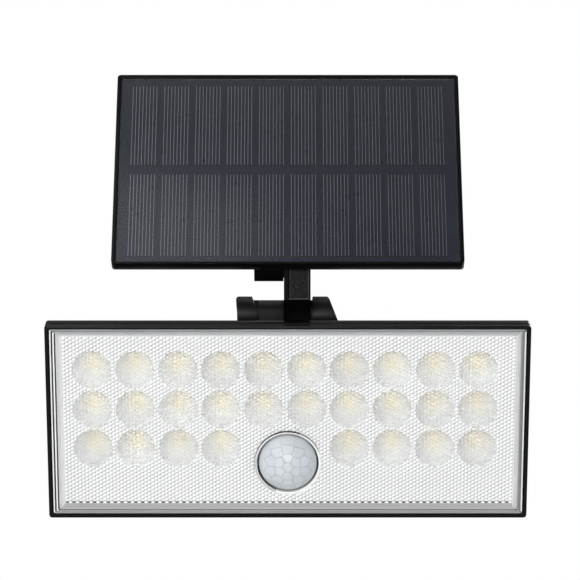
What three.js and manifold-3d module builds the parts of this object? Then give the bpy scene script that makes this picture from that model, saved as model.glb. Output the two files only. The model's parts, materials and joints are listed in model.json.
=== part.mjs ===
// Solar flood light. A wall bracket carries two things on one cross bolt: a wide LED lamp head, and a
// short arm that holds a solar panel on a second cross bolt. Bolts and friction hold all three tilts.
//
// Millimetres. +Z is up and +X is to the right of someone who faces the light. The origin is the centre
// of the wall plate's back face: the wall is the plane y = 0, and the light is on its -Y side.
import * as THREE from "three";
import { mergeVertices } from "three/addons/utils/BufferGeometryUtils.js";
import Module from "manifold-3d";

const wasm = await Module();
wasm.setup();

// ---------------------------------------------------------------- driving dimensions

const GAP = 0.3; // between moulded pieces that rest on each other
const THIN_GAP = 0.1; // between flat layers of a stack
const SLIP = 0.15; // round a shaft in its bore
const SHARP = 0.01; // corner radius of an edge that is meant to be sharp

const LAMP_PIVOT = { y: -54, z: 34.5 }; // cross bolt through the bracket's ears
const PANEL_PIVOT = { y: -70, z: 57.5 }; // cross bolt at the top of the arm

const PLATE = { width: 48, height: 60, thick: 4, corner: 5 };
const WALL_SLOT = { length: 9, width: 5, apart: 42 };
const EAR = { radius: 8, rootRadius: 17, rootY: -2, rootZ: 11.5, top: 8 };
const LEFT_EAR = { outerTop: -24.1, innerTop: -16.7, inner: -13.9, outer: -23.2 };
const RIGHT_EAR = { innerTop: 11.5, outerTop: 19.2, outer: 23.1, inner: 10.7 };
const TIE_BAR = { near: -46.4, far: -42, bottom: 31 }; // joins the ears behind the lamp's knuckle

const KNUCKLE = { radius: 6.1, left: -13.5, right: -2 }; // lamp's own knuckle, between ear and arm
const ARM = { left: -1.8, right: 10.4, topRadius: 7.5, noseRadius: 0.9, noseZ: 41.3 };
const ARM_COVER = { left: 0.3, right: 9.7, bottom: 41.2, top: 56.6, thick: 1.2, corner: 0.8 };
const REGISTER = { radius: 6.5, reach: 0.9 }; // round boss of the hinge block that turns in the arm

const BOLT = { radius: 2, headRadius: 3.9, headHeight: 2.2, washer: 0.8, washerRadius: 3.9 };
const NUT = { radius: 4, thick: 3.2 };
const COUNTERBORE = 4.3;

const PANEL = { width: 160, height: 101.5, thick: 6, corner: 1.6, rim: 1.9, bottomRim: 0.8, tilt: -28.7 };
const PANEL_FACE = { depth: 16.8, rise: 41.7 }; // from the panel's face centre back and down to its bolt
const CELL = { across: 13, tall: 43.6, thick: 0.2, pitch: 14.83, perRow: 10 };
const CELL_ROWS = { x: -0.2, upper: 23.4, lower: -24.9 }; // centres of the two rows
const RIBBON = { wide: 1.2, thick: 0.1 };
const HINGE_BLOCK = { left: -15.4, right: -2, radius: 8, flange: 3, top: -20 };

const LAMP = { width: 220, height: 92.9, corner: 1.4, rim: 1.6, rimDepth: 8.5, tilt: 16.9 };
const LAMP_FACE = { depth: 38.3, rise: 40.3 }; // from the lamp's face centre back and up to the ear bolt
const WINDOW = { x: 0.4, width: 205.8, height: 80.4, depth: 3.5 }; // patterned, sunk in the lens's border
const LENS = { front: 0.8, back: 5.5, corner: 1 };
const SHELL = { lip: 1.1, corner: 6, backWidth: 194, backHeight: 72, back: 29.5, wall: 2.2 };
const HUMP = { width: 92, height: 44, corner: 5, back: 38.4, centre: -8 }; // battery bulge on the rear shell
const TRAY = { width: 212.4, height: 85.3, front: 5.9, thick: 0.9 };
const CUP = { mouth: 8.6, floor: 4.2, depth: 8.1, wall: 0.8 };
const BOARD = { width: 200, height: 73, corner: 8, front: 14.8, thick: 1.6 };
const LED = { x: -1.2, columns: 10, pitch: 19.55, rowPitch: 18.9, topRow: 24.4 };
const LED_PACKAGE = { long: 3.5, tall: 2.8, thick: 0.7 };
const SENSOR = { centre: -20.3, dome: 13.3, rise: 6.8, skin: 0.9, flange: 14.7, can: 4.6 };
const SENSOR_HOLE = { radius: 14.2, collar: 15.4, sealFront: 4.2 }; // in the lens, round the dome
const SENSOR_TUBE = { outer: 15.9, seat: 15.1, bore: 12.6 }; // radii of the tray's tube behind the dome
const CELL_18650 = { radius: 9.2, length: 65, depth: 26.4 };
const CONTROL = { left: 44, right: 84, height: 46, front: 18.6, thick: 1.6 };
const BUTTON = { x: 62, rise: 6, cap: 4.5, flange: 6, travel: 0.8 };
const GLAND = { x: -62, rise: 6 };
const CASE_SCREW = { x: 101.5, rise: 38, head: 2.6, shank: 1.3, boss: 4.8 };

// ---------------------------------------------------------------- finishes

function finish(color, roughness, metalness = 0) {
  return new THREE.MeshStandardMaterial({ color, roughness, metalness });
}

const blackPlastic = finish(0x1c1c1d, 0.45);
const grainedPlastic = finish(0x262626, 0.7);
const steel = finish(0xb4b6b8, 0.3, 1);
const rubber = finish(0x161616, 0.85);
const clearPlastic = finish(0xf2f5f5, 0.12);
const whitePlastic = finish(0xe9ebea, 0.5);
const whiteBoard = finish(0xe4e6e2, 0.6);
const phosphor = finish(0xf2dfa0, 0.5);
const milkyPlastic = finish(0xc9ced0, 0.35);
const cellBlue = finish(0x2a2f38, 0.25);
const greenBoard = finish(0x1f5f3a, 0.55);
const batteryWrap = finish(0x2f6fb0, 0.4);

// ---------------------------------------------------------------- outlines

function roundedRectangle(width, height, radius, u = 0, v = 0) {
  const [right, top] = [u + width / 2, v + height / 2];
  const [left, bottom] = [u - width / 2, v - height / 2];
  const shape = new THREE.Shape();
  shape.absarc(right - radius, top - radius, radius, 0, Math.PI / 2);
  shape.absarc(left + radius, top - radius, radius, Math.PI / 2, Math.PI);
  shape.absarc(left + radius, bottom + radius, radius, Math.PI, Math.PI * 1.5);
  shape.absarc(right - radius, bottom + radius, radius, Math.PI * 1.5, Math.PI * 2);
  return shape;
}

function disc(radius, u = 0, v = 0) {
  return new THREE.Shape().absarc(u, v, radius, 0, Math.PI * 2);
}

function polygon(points) {
  return new THREE.Shape(points.map(([u, v]) => new THREE.Vector2(u, v)));
}

// The convex outline drawn tight round a set of circles, each { u, v, radius }.
function hullOfCircles(circles, steps = 48) {
  const points = circles.flatMap(({ u, v, radius }) =>
    Array.from({ length: steps }, (_, i) => {
      const angle = (i / steps) * Math.PI * 2;
      return [u + radius * Math.cos(angle), v + radius * Math.sin(angle)];
    }),
  );
  points.sort((a, b) => a[0] - b[0] || a[1] - b[1]);
  const turn = (a, b, c) => (b[0] - a[0]) * (c[1] - a[1]) - (b[1] - a[1]) * (c[0] - a[0]);
  const chain = (ordered) => {
    const kept = [];
    for (const point of ordered) {
      while (kept.length > 1 && turn(kept.at(-2), kept.at(-1), point) <= 1e-9) kept.pop();
      kept.push(point);
    }
    return kept.slice(0, -1);
  };
  return polygon([...chain(points), ...chain([...points].reverse())]);
}

// ---------------------------------------------------------------- solids

// A closed geometry as a solid that can be joined and cut.
function solid(geometry) {
  const bare = new THREE.BufferGeometry().setAttribute("position", geometry.getAttribute("position"));
  if (geometry.index) bare.setIndex(geometry.index);
  const merged = mergeVertices(bare, 1e-4);
  return new wasm.Manifold(
    new wasm.Mesh({
      numProp: 3,
      vertProperties: merged.attributes.position.array,
      triVerts: new Uint32Array(merged.index.array),
    }),
  );
}

function join(...solids) {
  return solids.reduce((whole, piece) => whole.add(piece));
}

function cut(body, ...tools) {
  return tools.reduce((left, tool) => left.subtract(tool), body);
}

function geometryOf(body) {
  const { vertProperties, triVerts } = body.getMesh();
  const geometry = new THREE.BufferGeometry()
    .setAttribute("position", new THREE.BufferAttribute(new Float32Array(vertProperties), 3))
    .setIndex(new THREE.BufferAttribute(new Uint32Array(triVerts), 1))
    .toNonIndexed();
  geometry.computeVertexNormals();
  return geometry;
}

function extrude(shape, depth, curveSegments) {
  return new THREE.ExtrudeGeometry(shape, { depth, bevelEnabled: false, curveSegments });
}

// An outline seen from the front, in x and z, given depth from y = near back to y = far.
function frontPiece(shape, near, far, curveSegments = 5) {
  const geometry = extrude(shape, far - near, curveSegments);
  return solid(geometry.rotateX(Math.PI / 2).translate(0, far, 0));
}

// As frontPiece, with the outline drawn in by the factors shrink.x and shrink.z at y = far.
function draftedPiece(shape, near, far, shrink, curveSegments = 5) {
  const geometry = extrude(shape, far - near, curveSegments);
  geometry.rotateX(Math.PI / 2).translate(0, far, 0);
  const { position } = geometry.attributes;
  const middle = (near + far) / 2;
  for (let i = 0; i < position.count; i++) {
    if (position.getY(i) < middle) continue;
    position.setX(i, position.getX(i) * shrink.x);
    position.setZ(i, position.getZ(i) * shrink.z);
  }
  return solid(geometry);
}

// An outline seen from the side, in y and z, given width from x = left to x = right.
function sidePiece(shape, left, right) {
  const geometry = extrude(shape, right - left, 1);
  const [x, y, z] = [0, 1, 2].map((i) => new THREE.Vector3().setComponent(i, 1));
  geometry.applyMatrix4(new THREE.Matrix4().makeBasis(y, z, x));
  return solid(geometry.translate(left, 0, 0));
}

// A profile of [radius, distance] turned round the line through (x, z) that runs along y.
function turnedAlongY(profile, { x = 0, z = 0 } = {}, segments = 24) {
  const points = profile.map(([radius, along]) => new THREE.Vector2(radius, along));
  return solid(new THREE.LatheGeometry(points, segments).translate(x, 0, z));
}

// A profile of [radius, distance] turned round the line through (y, z) that runs along x.
function turnedAlongX(profile, { y = 0, z = 0 } = {}, segments = 24) {
  const points = profile.map(([radius, along]) => new THREE.Vector2(radius, along));
  const geometry = new THREE.LatheGeometry(points, segments).rotateZ(-Math.PI / 2);
  return solid(geometry.translate(0, y, z));
}

function rodAlongX(radius, left, right, at, segments = 24) {
  return turnedAlongX([[0, left], [radius, left], [radius, right], [0, right]], at, segments);
}

function rodAlongY(radius, near, far, at, segments = 24) {
  return turnedAlongY([[0, near], [radius, near], [radius, far], [0, far]], at, segments);
}

function rodAlongZ(radius, bottom, top, { x, y }, segments = 16) {
  const points = [[0, bottom], [radius, bottom], [radius, top], [0, top]];
  const profile = points.map(([r, along]) => new THREE.Vector2(r, along));
  const geometry = new THREE.LatheGeometry(profile, segments).rotateX(Math.PI / 2);
  return solid(geometry.translate(x, y, 0));
}

function block([x0, x1], [y0, y1], [z0, z1]) {
  const geometry = new THREE.BoxGeometry(x1 - x0, y1 - y0, z1 - z0);
  return solid(geometry.translate((x0 + x1) / 2, (y0 + y1) / 2, (z0 + z1) / 2));
}

function addTo(group, name, body, material) {
  const mesh = new THREE.Mesh(geometryOf(body), material);
  mesh.name = name;
  group.add(mesh);
}

// ---------------------------------------------------------------- bolts, nuts and washers along x

// Pan-head bolt with its head at the left and a cross recess in it.
function crossBolt(seat, tip, at) {
  const { radius, headRadius, headHeight } = BOLT;
  const crown = seat - headHeight;
  const body = turnedAlongX(
    [[0, crown], [headRadius - 0.9, crown], [headRadius, crown + 0.9], [headRadius, seat],
      [radius, seat], [radius, tip - 0.5], [radius - 0.5, tip], [0, tip]],
    at,
  );
  const slotLong = 2.1;
  const slotWide = 0.4;
  const deep = [crown - 1, crown + 1.3];
  return cut(
    body,
    block(deep, [at.y - slotLong, at.y + slotLong], [at.z - slotWide, at.z + slotWide]),
    block(deep, [at.y - slotWide, at.y + slotWide], [at.z - slotLong, at.z + slotLong]),
  );
}

function hexNut(left, at) {
  const body = rodAlongX(NUT.radius, left, left + NUT.thick, at, 6);
  return cut(body, rodAlongX(BOLT.radius + SLIP, left - 1, left + NUT.thick + 1, at));
}

function nutPocket(left, right, at) {
  return rodAlongX(NUT.radius + GAP, left, right, at, 6);
}

function flatWasher(left, at) {
  const { washer, washerRadius } = BOLT;
  const body = rodAlongX(washerRadius, left, left + washer, at);
  return cut(body, rodAlongX(BOLT.radius + SLIP, left - 1, left + washer + 1, at));
}

// The washer against a counterbore's floor and the bolt whose head presses on it, as [washer, bolt].
function washerAndBolt(floor, tip, at) {
  const washerLeft = floor - THIN_GAP - BOLT.washer;
  return [flatWasher(washerLeft, at), crossBolt(washerLeft - THIN_GAP, tip, at)];
}

const boltBore = (left, right, at) => rodAlongX(BOLT.radius + SLIP, left, right, at);

const light = new THREE.Group();

// ---------------------------------------------------------------- wall bracket

const lampHeadFloor = -20.4; // counterbore floor in the left ear
const lampNutLeft = 17.4; // bottom of the nut pocket in the right ear

function earFront(outerTop, innerTop, inner, outer) {
  const axle = LAMP_PIVOT.z;
  const top = axle + EAR.top;
  const foot = -PLATE.height / 2;
  const chamfer = Math.sign(outerTop) * 0.9;
  return polygon([
    [innerTop, top], [outerTop - chamfer, top], [outerTop, top - Math.abs(chamfer)],
    [outer, axle - 3], [outer, foot], [inner, foot], [inner, axle],
  ]);
}

// Both ears and the bar that ties them, under one side outline.
function earsAndTieBar() {
  const side = hullOfCircles([
    { u: LAMP_PIVOT.y, v: LAMP_PIVOT.z, radius: EAR.radius },
    { u: EAR.rootY, v: EAR.rootZ, radius: EAR.rootRadius },
  ]);
  const reach = [LAMP_PIVOT.y - 2 * EAR.radius, -PLATE.thick / 2];
  const ears = [LEFT_EAR, RIGHT_EAR].map((ear) =>
    frontPiece(earFront(ear.outerTop, ear.innerTop, ear.inner, ear.outer), ...reach),
  );
  const tieBar = block(
    [LEFT_EAR.innerTop - 1, RIGHT_EAR.innerTop + 1],
    [TIE_BAR.near, TIE_BAR.far],
    [TIE_BAR.bottom, LAMP_PIVOT.z + 2 * EAR.radius],
  );
  return join(tieBar, ...ears).intersect(sidePiece(side, -PLATE.width / 2, PLATE.width / 2));
}

function wallBracket() {
  const plate = frontPiece(
    roundedRectangle(PLATE.width, PLATE.height, PLATE.corner), -PLATE.thick, 0,
  );
  const slots = [-1, 1].map((side) => {
    const outline = roundedRectangle(
      WALL_SLOT.length, WALL_SLOT.width, WALL_SLOT.width / 2 - SHARP, 0, side * WALL_SLOT.apart / 2,
    );
    return frontPiece(outline, -PLATE.thick - 1, 1);
  });
  return cut(
    join(plate, earsAndTieBar()),
    ...slots,
    boltBore(-40, 40, LAMP_PIVOT),
    rodAlongX(COUNTERBORE, -40, lampHeadFloor, LAMP_PIVOT),
    nutPocket(lampNutLeft, 40, LAMP_PIVOT),
  );
}

const [lampWasher, lampBolt] = washerAndBolt(lampHeadFloor, 21.2, LAMP_PIVOT);
addTo(light, "wall_bracket", wallBracket(), blackPlastic);
addTo(light, "lamp_pivot_bolt", lampBolt, steel);
addTo(light, "lamp_pivot_washer", lampWasher, steel);
addTo(light, "lamp_pivot_nut", hexNut(lampNutLeft + THIN_GAP, LAMP_PIVOT), steel);

// ---------------------------------------------------------------- arm

const armFront = PANEL_PIVOT.y - ARM.topRadius;
const panelNutLeft = 6.6; // bottom of the nut pocket in the arm
const coverMiddle = {
  x: (ARM_COVER.left + ARM_COVER.right) / 2,
  z: (ARM_COVER.bottom + ARM_COVER.top) / 2,
};

function coverOutline(grow) {
  return roundedRectangle(
    ARM_COVER.right - ARM_COVER.left + 2 * grow, ARM_COVER.top - ARM_COVER.bottom + 2 * grow,
    ARM_COVER.corner, coverMiddle.x, coverMiddle.z,
  );
}

function coverPegs(radius, depth) {
  return [-4, 4].map((rise) => {
    const at = { x: coverMiddle.x, z: coverMiddle.z + rise };
    return rodAlongY(radius, armFront + 0.8, armFront + depth, at, 12);
  });
}

function arm() {
  const side = hullOfCircles([
    { u: LAMP_PIVOT.y, v: LAMP_PIVOT.z, radius: KNUCKLE.radius },
    { u: PANEL_PIVOT.y, v: PANEL_PIVOT.z, radius: ARM.topRadius },
    { u: armFront + ARM.noseRadius, v: ARM.noseZ, radius: ARM.noseRadius },
  ]);
  return cut(
    sidePiece(side, ARM.left, ARM.right),
    frontPiece(coverOutline(SLIP), armFront - 1, armFront + ARM_COVER.thick + 2 * THIN_GAP),
    ...coverPegs(1.3, 4.4),
    boltBore(ARM.left - 1, ARM.right + 1, LAMP_PIVOT),
    boltBore(ARM.left - 1, ARM.right + 1, PANEL_PIVOT),
    nutPocket(panelNutLeft, ARM.right + 1, PANEL_PIVOT),
    rodAlongX(REGISTER.radius + SLIP, ARM.left - 1, ARM.left + REGISTER.reach, PANEL_PIVOT, 32),
  );
}

function armCover() {
  const plate = frontPiece(coverOutline(0), armFront + THIN_GAP, armFront + THIN_GAP + ARM_COVER.thick);
  return join(plate, ...coverPegs(1.1, 4));
}

const panelHeadFloor = HINGE_BLOCK.left + BOLT.headHeight + BOLT.washer + 2 * THIN_GAP + 0.4;
const [panelWasher, panelBolt] = washerAndBolt(panelHeadFloor, ARM.right - 0.2, PANEL_PIVOT);
addTo(light, "arm", arm(), blackPlastic);
addTo(light, "arm_cover", armCover(), grainedPlastic);
addTo(light, "panel_pivot_bolt", panelBolt, steel);
addTo(light, "panel_pivot_washer", panelWasher, steel);
addTo(light, "panel_pivot_nut", hexNut(panelNutLeft + THIN_GAP, PANEL_PIVOT), steel);

// ---------------------------------------------------------------- solar panel
// Drawn upright, with the origin at the centre of its front face, y into the panel and z up its face.

const panel = new THREE.Group();
panel.position.set(0, -PANEL_FACE.depth, PANEL_FACE.rise);
const panelTilt = new THREE.Group();
panelTilt.position.set(0, PANEL_PIVOT.y, PANEL_PIVOT.z);
panelTilt.rotation.x = THREE.MathUtils.degToRad(PANEL.tilt);
panelTilt.add(panel);
light.add(panelTilt);

const panelBoltAt = { y: PANEL_FACE.depth, z: -PANEL_FACE.rise };
const filmFront = 0.4;
const filmThick = 0.5;
const cellFront = filmFront + filmThick + THIN_GAP;
const backingFront = cellFront + CELL.thick + THIN_GAP;
const backingThick = 1;
const recessDepth = backingFront + backingThick + THIN_GAP;
const hingeScrewRises = [-29.8, -23.8];
const hingeScrewX = (HINGE_BLOCK.left + HINGE_BLOCK.right) / 2;
const hingeScrewTip = 4.2;

// A plate of the recess's outline, smaller all round by the inset. The tray's bottom rim is the thin one.
function recessPlate(inset, near, far) {
  const width = PANEL.width - 2 * (PANEL.rim + inset);
  const height = PANEL.height - PANEL.rim - PANEL.bottomRim - 2 * inset;
  const middle = (PANEL.bottomRim - PANEL.rim) / 2;
  return frontPiece(roundedRectangle(width, height, 0.6, 0, middle), near, far);
}

const laminate = (near, far) => recessPlate(SLIP, near, far);

function panelTray() {
  const outer = roundedRectangle(PANEL.width, PANEL.height, PANEL.corner);
  const screwHoles = hingeScrewRises.map((z) =>
    rodAlongY(CASE_SCREW.shank + SLIP, hingeScrewTip - 0.3, PANEL.thick + 1, { x: hingeScrewX, z }, 12),
  );
  return cut(frontPiece(outer, 0, PANEL.thick), recessPlate(0, -1, recessDepth), ...screwHoles);
}

// One row of cells, joined by the ribbon that runs behind them.
function cellString(rise) {
  const half = (CELL.perRow - 1) / 2;
  const cells = Array.from({ length: CELL.perRow }, (_, i) => {
    const x = CELL_ROWS.x + (i - half) * CELL.pitch;
    return block(
      [x - CELL.across / 2, x + CELL.across / 2],
      [cellFront, cellFront + CELL.thick],
      [rise - CELL.tall / 2, rise + CELL.tall / 2],
    );
  });
  const reach = half * CELL.pitch + CELL.across / 2;
  const back = cellFront + CELL.thick;
  const ribbon = block(
    [CELL_ROWS.x - reach, CELL_ROWS.x + reach],
    [back - RIBBON.thick, back],
    [rise - RIBBON.wide, rise + RIBBON.wide],
  );
  return join(ribbon, ...cells);
}

function hingeBlock() {
  const { left, right, radius, flange, top } = HINGE_BLOCK;
  const back = PANEL.thick + GAP;
  const barrel = hullOfCircles([
    { u: panelBoltAt.y, v: panelBoltAt.z, radius },
    { u: back + 1, v: panelBoltAt.z - 5, radius: 1 },
    { u: back + 1, v: panelBoltAt.z + 7, radius: 1 },
  ]);
  const foot = block([left, right], [back, back + flange], [panelBoltAt.z, top]);
  const register = rodAlongX(REGISTER.radius, right - 1, right + REGISTER.reach, panelBoltAt, 32);
  const body = cut(
    join(sidePiece(barrel, left, right), foot, register),
    boltBore(left - 1, right + 2, panelBoltAt),
    rodAlongX(COUNTERBORE, left - 1, panelHeadFloor, panelBoltAt),
  );
  const holes = hingeScrewRises.map((z) =>
    rodAlongY(CASE_SCREW.shank + SLIP, back - 1, back + flange + 1, { x: hingeScrewX, z }, 12),
  );
  return cut(body, ...holes);
}

// Pan-head screw driven forwards: its shank points to -Y.
function caseScrew(seat, tip, { x, z }) {
  const { head, shank } = CASE_SCREW;
  const crown = seat + 1.6;
  const body = turnedAlongY(
    [[0, tip], [shank - 0.5, tip], [shank, tip + 0.8], [shank, seat], [head, seat],
      [head, crown - 0.6], [head - 0.7, crown], [0, crown]],
    { x, z },
    10,
  );
  const slotLong = 1.5;
  const slotWide = 0.3;
  return cut(
    body,
    block([x - slotLong, x + slotLong], [crown - 0.9, crown + 1], [z - slotWide, z + slotWide]),
    block([x - slotWide, x + slotWide], [crown - 0.9, crown + 1], [z - slotLong, z + slotLong]),
  );
}

const JUNCTION = { x: 34, rise: -6, width: 34, height: 24, thick: 6.5 };
const panelGlandAt = { x: JUNCTION.x, y: PANEL.thick + GAP + JUNCTION.thick / 2 };

function junctionBox() {
  const back = PANEL.thick + GAP;
  const centre = roundedRectangle(JUNCTION.width, JUNCTION.height, 2.5);
  const body = draftedPiece(centre, back, back + JUNCTION.thick, { x: 0.92, z: 0.9 });
  const moved = body.translate([JUNCTION.x, 0, JUNCTION.rise]);
  const bottom = JUNCTION.rise - JUNCTION.height / 2;
  const hole = rodAlongZ(2.3, bottom - 1, bottom + 5, panelGlandAt);
  return cut(moved, hole);
}

function panelGland() {
  const bottom = JUNCTION.rise - JUNCTION.height / 2;
  const sleeve = rodAlongZ(2.0, bottom - 4, bottom + 4, panelGlandAt);
  const collar = rodAlongZ(2.9, bottom - 2.2, bottom - GAP, panelGlandAt);
  return cut(join(sleeve, collar), rodAlongZ(1.3, bottom - 6, bottom + 6, panelGlandAt));
}

addTo(panel, "panel_tray", panelTray(), blackPlastic);
addTo(panel, "panel_cover_film", laminate(filmFront, filmFront + filmThick), clearPlastic);
addTo(panel, "cell_string_upper", cellString(CELL_ROWS.upper), cellBlue);
addTo(panel, "cell_string_lower", cellString(CELL_ROWS.lower), cellBlue);
addTo(panel, "panel_backing_board", laminate(backingFront, backingFront + backingThick), greenBoard);
addTo(panel, "panel_hinge_block", hingeBlock(), blackPlastic);
addTo(panel, "junction_box", junctionBox(), blackPlastic);
addTo(panel, "panel_gland", panelGland(), rubber);
hingeScrewRises.forEach((z, i) => {
  const seat = PANEL.thick + GAP + HINGE_BLOCK.flange + THIN_GAP;
  addTo(panel, `hinge_screw_${i + 1}`, caseScrew(seat, hingeScrewTip, { x: hingeScrewX, z }), steel);
});

// ---------------------------------------------------------------- lamp head
// Drawn upright, with the origin at the centre of its front face, y into the lamp and z up its face.

const lamp = new THREE.Group();
lamp.position.set(0, -LAMP_FACE.depth, -LAMP_FACE.rise);
const lampTilt = new THREE.Group();
lampTilt.position.set(0, LAMP_PIVOT.y, LAMP_PIVOT.z);
lampTilt.rotation.x = THREE.MathUtils.degToRad(LAMP.tilt);
lampTilt.add(lamp);
light.add(lampTilt);

const lampBoltAt = { y: LAMP_FACE.depth, z: LAMP_FACE.rise };
const sensorAt = { x: 0, z: SENSOR.centre };
const lensWidth = LAMP.width - 2 * (LAMP.rim + GAP);
const lensHeight = LAMP.height - 2 * (LAMP.rim + GAP);
const ledgeFront = TRAY.front + TRAY.thick + GAP; // the bezel's inner ledge, behind the tray and the gasket
const shellFront = LAMP.rimDepth + GAP;
const screwSeat = shellFront + 2.5;
const caseCorners = [[-1, -1], [-1, 1], [1, -1], [1, 1]].map(([side, end]) => ({
  x: side * CASE_SCREW.x,
  z: end * CASE_SCREW.rise,
}));

function frontBezel() {
  const ledge = 1.2;
  const cornerBlock = 17; // round enough to leave material for a screw in each corner
  const outer = roundedRectangle(LAMP.width, LAMP.height, LAMP.corner);
  const opening = roundedRectangle(LAMP.width - 2 * LAMP.rim, LAMP.height - 2 * LAMP.rim, 1.2);
  const rearOpening = roundedRectangle(TRAY.width - 2 * ledge, TRAY.height - 2 * ledge, cornerBlock);
  const screwHoles = caseCorners.map((at) =>
    rodAlongY(CASE_SCREW.shank + SLIP, ledgeFront - 1, LAMP.rimDepth + 1, at, 12),
  );
  return cut(
    frontPiece(outer, 0, LAMP.rimDepth),
    frontPiece(opening, -1, ledgeFront),
    frontPiece(rearOpening, 0, LAMP.rimDepth + 1),
    ...screwHoles,
  );
}

function frontLens() {
  const plate = frontPiece(roundedRectangle(lensWidth, lensHeight, LENS.corner), LENS.front, LENS.back);
  const sunk = frontPiece(
    roundedRectangle(WINDOW.width, WINDOW.height, 0.8, WINDOW.x), LENS.front - 1, WINDOW.depth,
  );
  const collar = rodAlongY(SENSOR_HOLE.collar, LENS.front + 0.6, LENS.back, sensorAt, 32);
  const hole = rodAlongY(SENSOR_HOLE.radius, LENS.front - 2, LENS.back + 1, sensorAt, 32);
  return cut(join(cut(plate, sunk), collar), hole);
}

function lensGasket() {
  const outer = roundedRectangle(lensWidth, lensHeight, LENS.corner);
  const inner = roundedRectangle(TRAY.width + 2 * GAP, TRAY.height + 2 * GAP, LENS.corner);
  return cut(
    frontPiece(outer, LENS.back + THIN_GAP, ledgeFront - THIN_GAP),
    frontPiece(inner, LENS.back - 1, ledgeFront + 1),
  );
}

// The rear shell's draft, as an outline at its front edge and the factors that shrink it to its back.
function shellBlank(inset, near, far) {
  const width = LAMP.width - 2 * (SHELL.lip + inset);
  const height = LAMP.height - 2 * (SHELL.lip + inset);
  const shrink = {
    x: (SHELL.backWidth - 2 * inset) / width,
    z: (SHELL.backHeight - 2 * inset) / height,
  };
  return draftedPiece(roundedRectangle(width, height, SHELL.corner), near, far, shrink);
}

function humpBlank(inset, near, far) {
  const [width, height] = [HUMP.width - 2 * inset, HUMP.height - 2 * inset];
  const shape = roundedRectangle(width, height, HUMP.corner);
  return draftedPiece(shape, near, far, { x: 0.92, z: 0.84 }).translate([0, 0, HUMP.centre]);
}

function lampKnuckle() {
  const foot = SHELL.back - 0.4;
  const side = hullOfCircles([
    { u: lampBoltAt.y, v: lampBoltAt.z, radius: KNUCKLE.radius },
    { u: foot, v: lampBoltAt.z - 7, radius: 1.2 },
    { u: foot, v: lampBoltAt.z - 24, radius: 1.2 },
  ]);
  return sidePiece(side, KNUCKLE.left, KNUCKLE.right);
}

function rearShell() {
  const { wall, back } = SHELL;
  const bosses = caseCorners.map((at) => rodAlongY(CASE_SCREW.boss, shellFront, screwSeat + 3.5, at));
  const wells = caseCorners.map((at) => rodAlongY(CASE_SCREW.head + GAP, screwSeat, 40, at, 12));
  const screwHoles = caseCorners.map((at) => rodAlongY(CASE_SCREW.shank + SLIP, 0, 40, at, 12));
  const skin = join(shellBlank(0, shellFront, back), humpBlank(0, back - 1, HUMP.back), ...bosses);
  const hollow = join(
    shellBlank(wall, shellFront - 0.2, back - wall),
    humpBlank(wall, back - wall - 1, HUMP.back - wall),
  );
  const innerBosses = caseCorners.map((at) => rodAlongY(CASE_SCREW.boss, shellFront, screwSeat + 2, at));
  const posts = [-15, 15].map((rise) =>
    rodAlongY(2, CONTROL.front + CONTROL.thick + THIN_GAP, back - 1, { x: CONTROL.left + 4, z: rise }, 12),
  );
  return cut(
    join(cut(skin, hollow), ...innerBosses, ...posts, lampKnuckle()),
    ...wells,
    ...screwHoles,
    boltBore(KNUCKLE.left - 1, KNUCKLE.right + 1, lampBoltAt),
    rodAlongY(BUTTON.cap + GAP, 20, 40, { x: BUTTON.x, z: BUTTON.rise }),
    rodAlongY(3.4, 20, 40, { x: GLAND.x, z: GLAND.rise }),
  );
}

addTo(lamp, "front_bezel", frontBezel(), blackPlastic);
addTo(lamp, "front_lens", frontLens(), clearPlastic);
addTo(lamp, "lens_gasket", lensGasket(), rubber);
addTo(lamp, "rear_shell", rearShell(), blackPlastic);
caseCorners.forEach((at, i) => {
  const seat = screwSeat + THIN_GAP;
  addTo(lamp, `case_screw_${i + 1}`, caseScrew(seat, ledgeFront, at), steel);
});

// ---------------------------------------------------------------- lights and reflector

const ledColumns = Array.from(
  { length: LED.columns },
  (_, i) => LED.x + (i - (LED.columns - 1) / 2) * LED.pitch,
);
const outerColumns = ledColumns.filter((x) => Math.abs(x) > SENSOR_TUBE.outer);
const ledRows = {
  led_row_top: { columns: ledColumns, rise: LED.topRow },
  led_row_middle: { columns: ledColumns, rise: LED.topRow - LED.rowPitch },
  led_row_bottom_left: { columns: outerColumns.filter((x) => x < 0), rise: LED.topRow - 2 * LED.rowPitch },
  led_row_bottom_right: { columns: outerColumns.filter((x) => x > 0), rise: LED.topRow - 2 * LED.rowPitch },
};
const ledPlaces = Object.values(ledRows).flatMap(({ columns, rise }) =>
  columns.map((x) => ({ x, z: rise })),
);

const domeFlangeBack = TRAY.front + TRAY.thick;

// White tray with one open cup for each light, and a tube that holds the dome's flange and keeps stray
// light off the sensor.
function reflectorTray() {
  const { front, thick } = TRAY;
  const cupEnd = front + CUP.depth;
  const cup = (grow) => [
    [0, front - grow], [CUP.mouth + grow, front - grow], [CUP.floor + grow, cupEnd + 0.2], [0, cupEnd + 0.2],
  ];
  const outerCup = [[0, front], [CUP.mouth + CUP.wall, front], [CUP.floor + CUP.wall, cupEnd], [0, cupEnd]];
  const plate = frontPiece(roundedRectangle(TRAY.width, TRAY.height, LENS.corner), front, front + thick);
  const body = join(
    plate,
    rodAlongY(SENSOR_TUBE.outer, front, cupEnd, sensorAt, 20),
    ...ledPlaces.map((at) => turnedAlongY(outerCup, at, 10)),
  );
  return cut(
    body,
    rodAlongY(SENSOR_TUBE.seat, front - 1, domeFlangeBack + THIN_GAP, sensorAt, 20),
    rodAlongY(SENSOR_TUBE.bore, front - 1, cupEnd + 1, sensorAt, 20),
    ...ledPlaces.map((at) => turnedAlongY(cup(0.01), at, 10)),
  );
}

function ledBoard() {
  const outline = roundedRectangle(BOARD.width, BOARD.height, BOARD.corner);
  return frontPiece(outline, BOARD.front, BOARD.front + BOARD.thick);
}

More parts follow.
